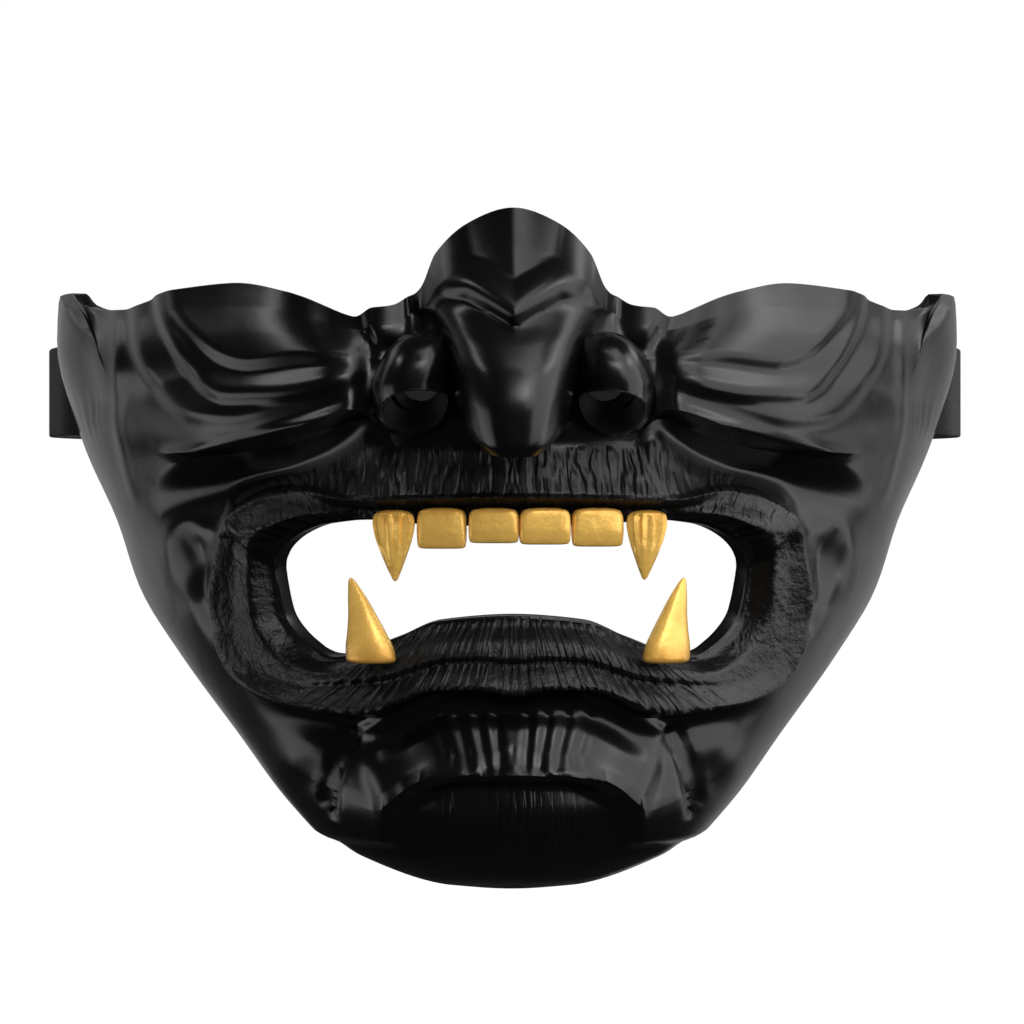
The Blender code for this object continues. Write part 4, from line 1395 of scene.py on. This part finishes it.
@dataclass
class HeadStrap:
    """The elastic band that runs from one temple wing round the head to the other."""

    width: float = 0.019
    thickness: float = 0.0016
    tab: float = 0.015
    tab_clearance: float = 0.0015
    rim_clearance: float = 0.0025
    half_width: float = 0.0990
    back: float = 0.116
    steps: int = 130
    rows: int = 9
    probe_start: float = 1.0
    probe_inset: float = 0.0001
    probe_share: float = 0.98
    edge_radius: float = 0.0005
    edge_segments: int = 3
    edge_angle: float = 50.0
    sharp_angle: float = 60.0
    path: Rows = (
        (0.948, 0.070), (0.972, 0.150), (0.992, 0.250), (1.000, 0.340), (0.985, 0.480), (0.920, 0.660),
        (0.780, 0.830), (0.560, 0.945), (0.280, 0.992), (0.000, 1.000),
    )

    def lay(self, rise: Array) -> Array:
        """Lays half of the band, from where the plain one lies in the temple wing to the back of the head.

        Args:
            rise: The height of each of its rows.

        Returns:
            An array of steps, rows and the three axes.
        """
        solid = bpy.data.objects["head_strap"]
        tree = BVHTree.FromPolygons([corner.co for corner in solid.data.vertices],
                                    [face.vertices[:] for face in solid.data.polygons])
        path = np.array(self.path) * (self.half_width, self.back)
        places = np.empty((self.steps + 1, self.rows, 3))
        for row, z in enumerate(rise):
            ends = []
            for y in (-self.tab + self.probe_inset, -self.tab_clearance, self.rim_clearance):
                outside = Vector((self.probe_start, y, z * self.probe_share))
                ends.append((tree.ray_cast(outside, Vector((-1, 0, 0)))[0].x, y))
            ends[0] = (ends[0][0], -self.tab)
            route = np.vstack((ends, path))
            keys = walked(route)
            at = np.linspace(0, keys[-1], self.steps + 1)
            across, backwards = (smooth_line(keys, route[:, axis], at) for axis in (0, 1))
            places[:, row] = np.stack((across, backwards, np.full_like(at, z)), axis=-1)
        places[-1, :, 0] = 0
        return places

    def build(self) -> bpy.types.Object:
        """Builds the band.

        Returns:
            The piece, with its weave laid out in metres.
        """
        rise = np.linspace(-0.5, 0.5, self.rows) * self.width
        places = self.lay(rise)
        band = grid_piece("head_strap_woven", places)
        run = walked(places[:, self.rows // 2])
        layer = band.data.uv_layers.active
        for loop in band.data.loops:
            step, row = divmod(loop.vertex_index, self.rows)
            layer.data[loop.index].uv = (run[step] - run[-1], rise[row])
        apply_modifier(band, "MIRROR", use_clip=True, merge_threshold=SEAM_GAP)
        apply_modifier(band, "SOLIDIFY", thickness=self.thickness, offset=1)
        apply_modifier(band, "BEVEL", width=self.edge_radius, segments=self.edge_segments,
                       limit_method="ANGLE", angle_limit=math.radians(self.edge_angle))
        shade(band, self.sharp_angle)
        return band

    def dress(self, finish: WovenElastic) -> None:
        """Builds the band, gives it its finish and puts it in the place of the plain one.

        Args:
            finish: The band's finish.
        """
        band = self.build()
        band.data.materials.append(finish.material())
        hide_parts("head_strap")
        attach(band, "root")
        LOG.info("head strap: %d faces", len(band.data.polygons))


@dataclass(frozen=True)
class Softbox:
    """A rectangular studio light that faces the guard."""

    name: str
    place: Triple
    size: Pair
    brightness: float
    target: Triple = (0.0, -0.05, -0.03)
    glossy: bool = True

    def hang(self) -> None:
        """Adds the light. Its brightness is what a mirror would show, with white as 1."""
        lamp = bpy.data.lights.new(self.name, "AREA")
        lamp.shape = "RECTANGLE"
        lamp.size, lamp.size_y = self.size
        lamp.energy = self.brightness * math.pi * self.size[0] * self.size[1]
        holder = bpy.data.objects.new(self.name, lamp)
        holder.location = self.place
        holder.rotation_mode = "QUATERNION"
        holder.rotation_quaternion = (Vector(self.target) - Vector(self.place)).to_track_quat("-Z", "Y")
        holder.visible_glossy = self.glossy
        bpy.context.scene.collection.objects.link(holder)


@dataclass
class Studio:
    """A pale floor, a white surround, soft lights, and the camera in the photograph's place."""

    distance: float = 1.2
    azimuth: float = -0.8
    camera_height: float = -0.0257
    frame_width: float = 0.2157
    sensor_width: float = 36.0
    image_size: int = 1024
    centre_pixel: float = 507.5
    floor_height: float = -0.30
    floor_size: float = 40.0
    floor_colour: Triple = (0.9, 0.9, 0.9)
    floor_roughness: float = 0.9
    surround: float = 0.03
    lights: Sequence[Softbox] = (
        Softbox("right_box", (1.05, -0.40, 0.40), (1.8, 1.6), 1.7),
        Softbox("right_front_box", (0.58, -1.28, 0.95), (0.60, 1.5), 1.6),
        Softbox("right_rim_box", (0.58, 1.02, 0.10), (1.5, 1.4), 0.45),
        Softbox("right_top_box", (0.95, -0.16, 0.78), (0.55, 0.22), 2.6),
        Softbox("right_side_box", (1.15, 0.25, -0.33), (0.6, 0.3), 1.2),
        Softbox("right_back_box", (0.80, 0.60, 0.65), (0.4, 0.3), 1.5),
        Softbox("left_rim_box", (-0.62, 0.98, 0.18), (1.4, 1.1), 0.45),
        Softbox("left_top_box", (-0.88, -0.15, 0.83), (0.50, 0.18), 4.0),
        Softbox("left_side_box", (-1.10, -0.05, -0.28), (1.0, 0.50), 1.3),
        Softbox("left_back_box", (-0.80, 0.60, 0.65), (0.4, 0.3), 0.5),
        Softbox("top_box", (0.30, -0.40, 1.10), (0.6, 0.5), 2.0),
        Softbox("front_box", (0.30, -1.40, 0.90), (0.5, 0.4), 5.0),
        Softbox("front_fill", (0.00, -1.60, 0.30), (1.0, 1.0), 6.2, glossy=False),
    )

    def set_camera(self) -> None:
        """Puts the camera where the photograph was taken from."""
        lens = bpy.data.cameras.new("camera")
        lens.sensor_width = self.sensor_width
        lens.lens = self.sensor_width * self.distance / self.frame_width
        holder = bpy.data.objects.new("camera", lens)
        turn = math.radians(self.azimuth)
        away = Vector((math.sin(turn), -math.cos(turn), 0))
        shift = (self.image_size / 2 - self.centre_pixel) * self.frame_width / self.image_size
        aim = Vector((shift * math.cos(turn), shift * math.sin(turn), self.camera_height))
        holder.location = aim + away * self.distance
        holder.rotation_mode = "QUATERNION"
        holder.rotation_quaternion = (-away).to_track_quat("-Z", "Y")
        bpy.context.scene.collection.objects.link(holder)
        bpy.context.scene.camera = holder

    def set_surround(self) -> None:
        """Makes the surround white behind the guard and dim in its reflections."""
        world = bpy.data.worlds.new("studio")
        bpy.context.scene.world = world
        world.use_nodes = True
        sheet = NodeSheet(world.node_tree)
        seen = sheet.node("LightPath").outputs["Is Camera Ray"]
        background = world.node_tree.nodes["Background"]
        background.inputs["Color"].default_value = (1, 1, 1, 1)
        sheet.feed(background, "Strength", sheet.between(seen, self.surround, 1.0))

    def lay_floor(self) -> None:
        """Lays a wide pale floor under the guard."""
        floor = add_primitive("floor", bpy.ops.mesh.primitive_plane_add, size=self.floor_size,
                              location=(0, 0, self.floor_height))
        bpy.ops.object.transform_apply(location=True, rotation=True, scale=True)
        material = bpy.data.materials.new("pale_floor")
        material.use_nodes = True
        shader = material.node_tree.nodes["Principled BSDF"]
        shader.inputs["Base Color"].default_value = (*self.floor_colour, 1)
        shader.inputs["Roughness"].default_value = self.floor_roughness
        shader.inputs["Emission Color"].default_value = (1, 1, 1, 1)
        shader.inputs["Emission Strength"].default_value = 1.0
        floor.data.materials.append(material)
        floor.visible_glossy = False
        floor.visible_diffuse = False

    def build(self) -> None:
        """Sets up everything round the guard."""
        self.set_camera()
        self.set_surround()
        self.lay_floor()
        for light in self.lights:
            light.hang()
        bpy.context.scene.view_settings.view_transform = "Standard"
        LOG.info("studio: %d lights", len(self.lights))


def main() -> None:
    """Builds the guard's pieces in order, then the studio."""
    logging.basicConfig(level=logging.INFO, format="%(name)s: %(message)s")
    noise_group("mottle", "Value", 3.0, 0.55, (0.30, 0.70))
    noise_group("grain", "Height", 5.0, 0.62, None)
    shape = FaceShape()
    MaskShell(shape).dress(Lacquer("lacquer"))
    gold = GoldPaint("gold_paint_on_teeth").material()
    teeth = (
        Tooth("upper_fang_right", -0.247, 0.558, 0.455, 0.004, ToothForm.UPPER_FANG, 2.2, flutes=0.20),
        Tooth("upper_incisor_1", -0.147, 0.561, 0.502, 0.0, ToothForm.INCISOR, 3.6, fill=1.06),
        Tooth("upper_incisor_2", -0.040, 0.561, 0.510, 0.0, ToothForm.INCISOR, 3.6, fill=1.06),
        Tooth("upper_incisor_3", 0.065, 0.561, 0.508, 0.0, ToothForm.INCISOR, 4.4, fill=1.07),
        Tooth("upper_incisor_4", 0.174, 0.561, 0.505, 0.0, ToothForm.INCISOR, 3.4, fill=1.06),
        Tooth("upper_fang_left", 0.278, 0.558, 0.457, -0.006, ToothForm.UPPER_FANG, 2.2, flutes=0.20),
        Tooth("lower_fang_right", -0.290, 0.336, 0.460, -0.048, ToothForm.LOWER_FANG, 2.2),
        Tooth("lower_fang_left", 0.314, 0.336, 0.460, 0.044, ToothForm.LOWER_FANG, 2.2),
    )
    for tooth in teeth:
        tooth.dress(shape, gold)
    HeadStrap().dress(WovenElastic("woven_elastic"))
    Studio().build()


if __name__ == "__main__":
    main()
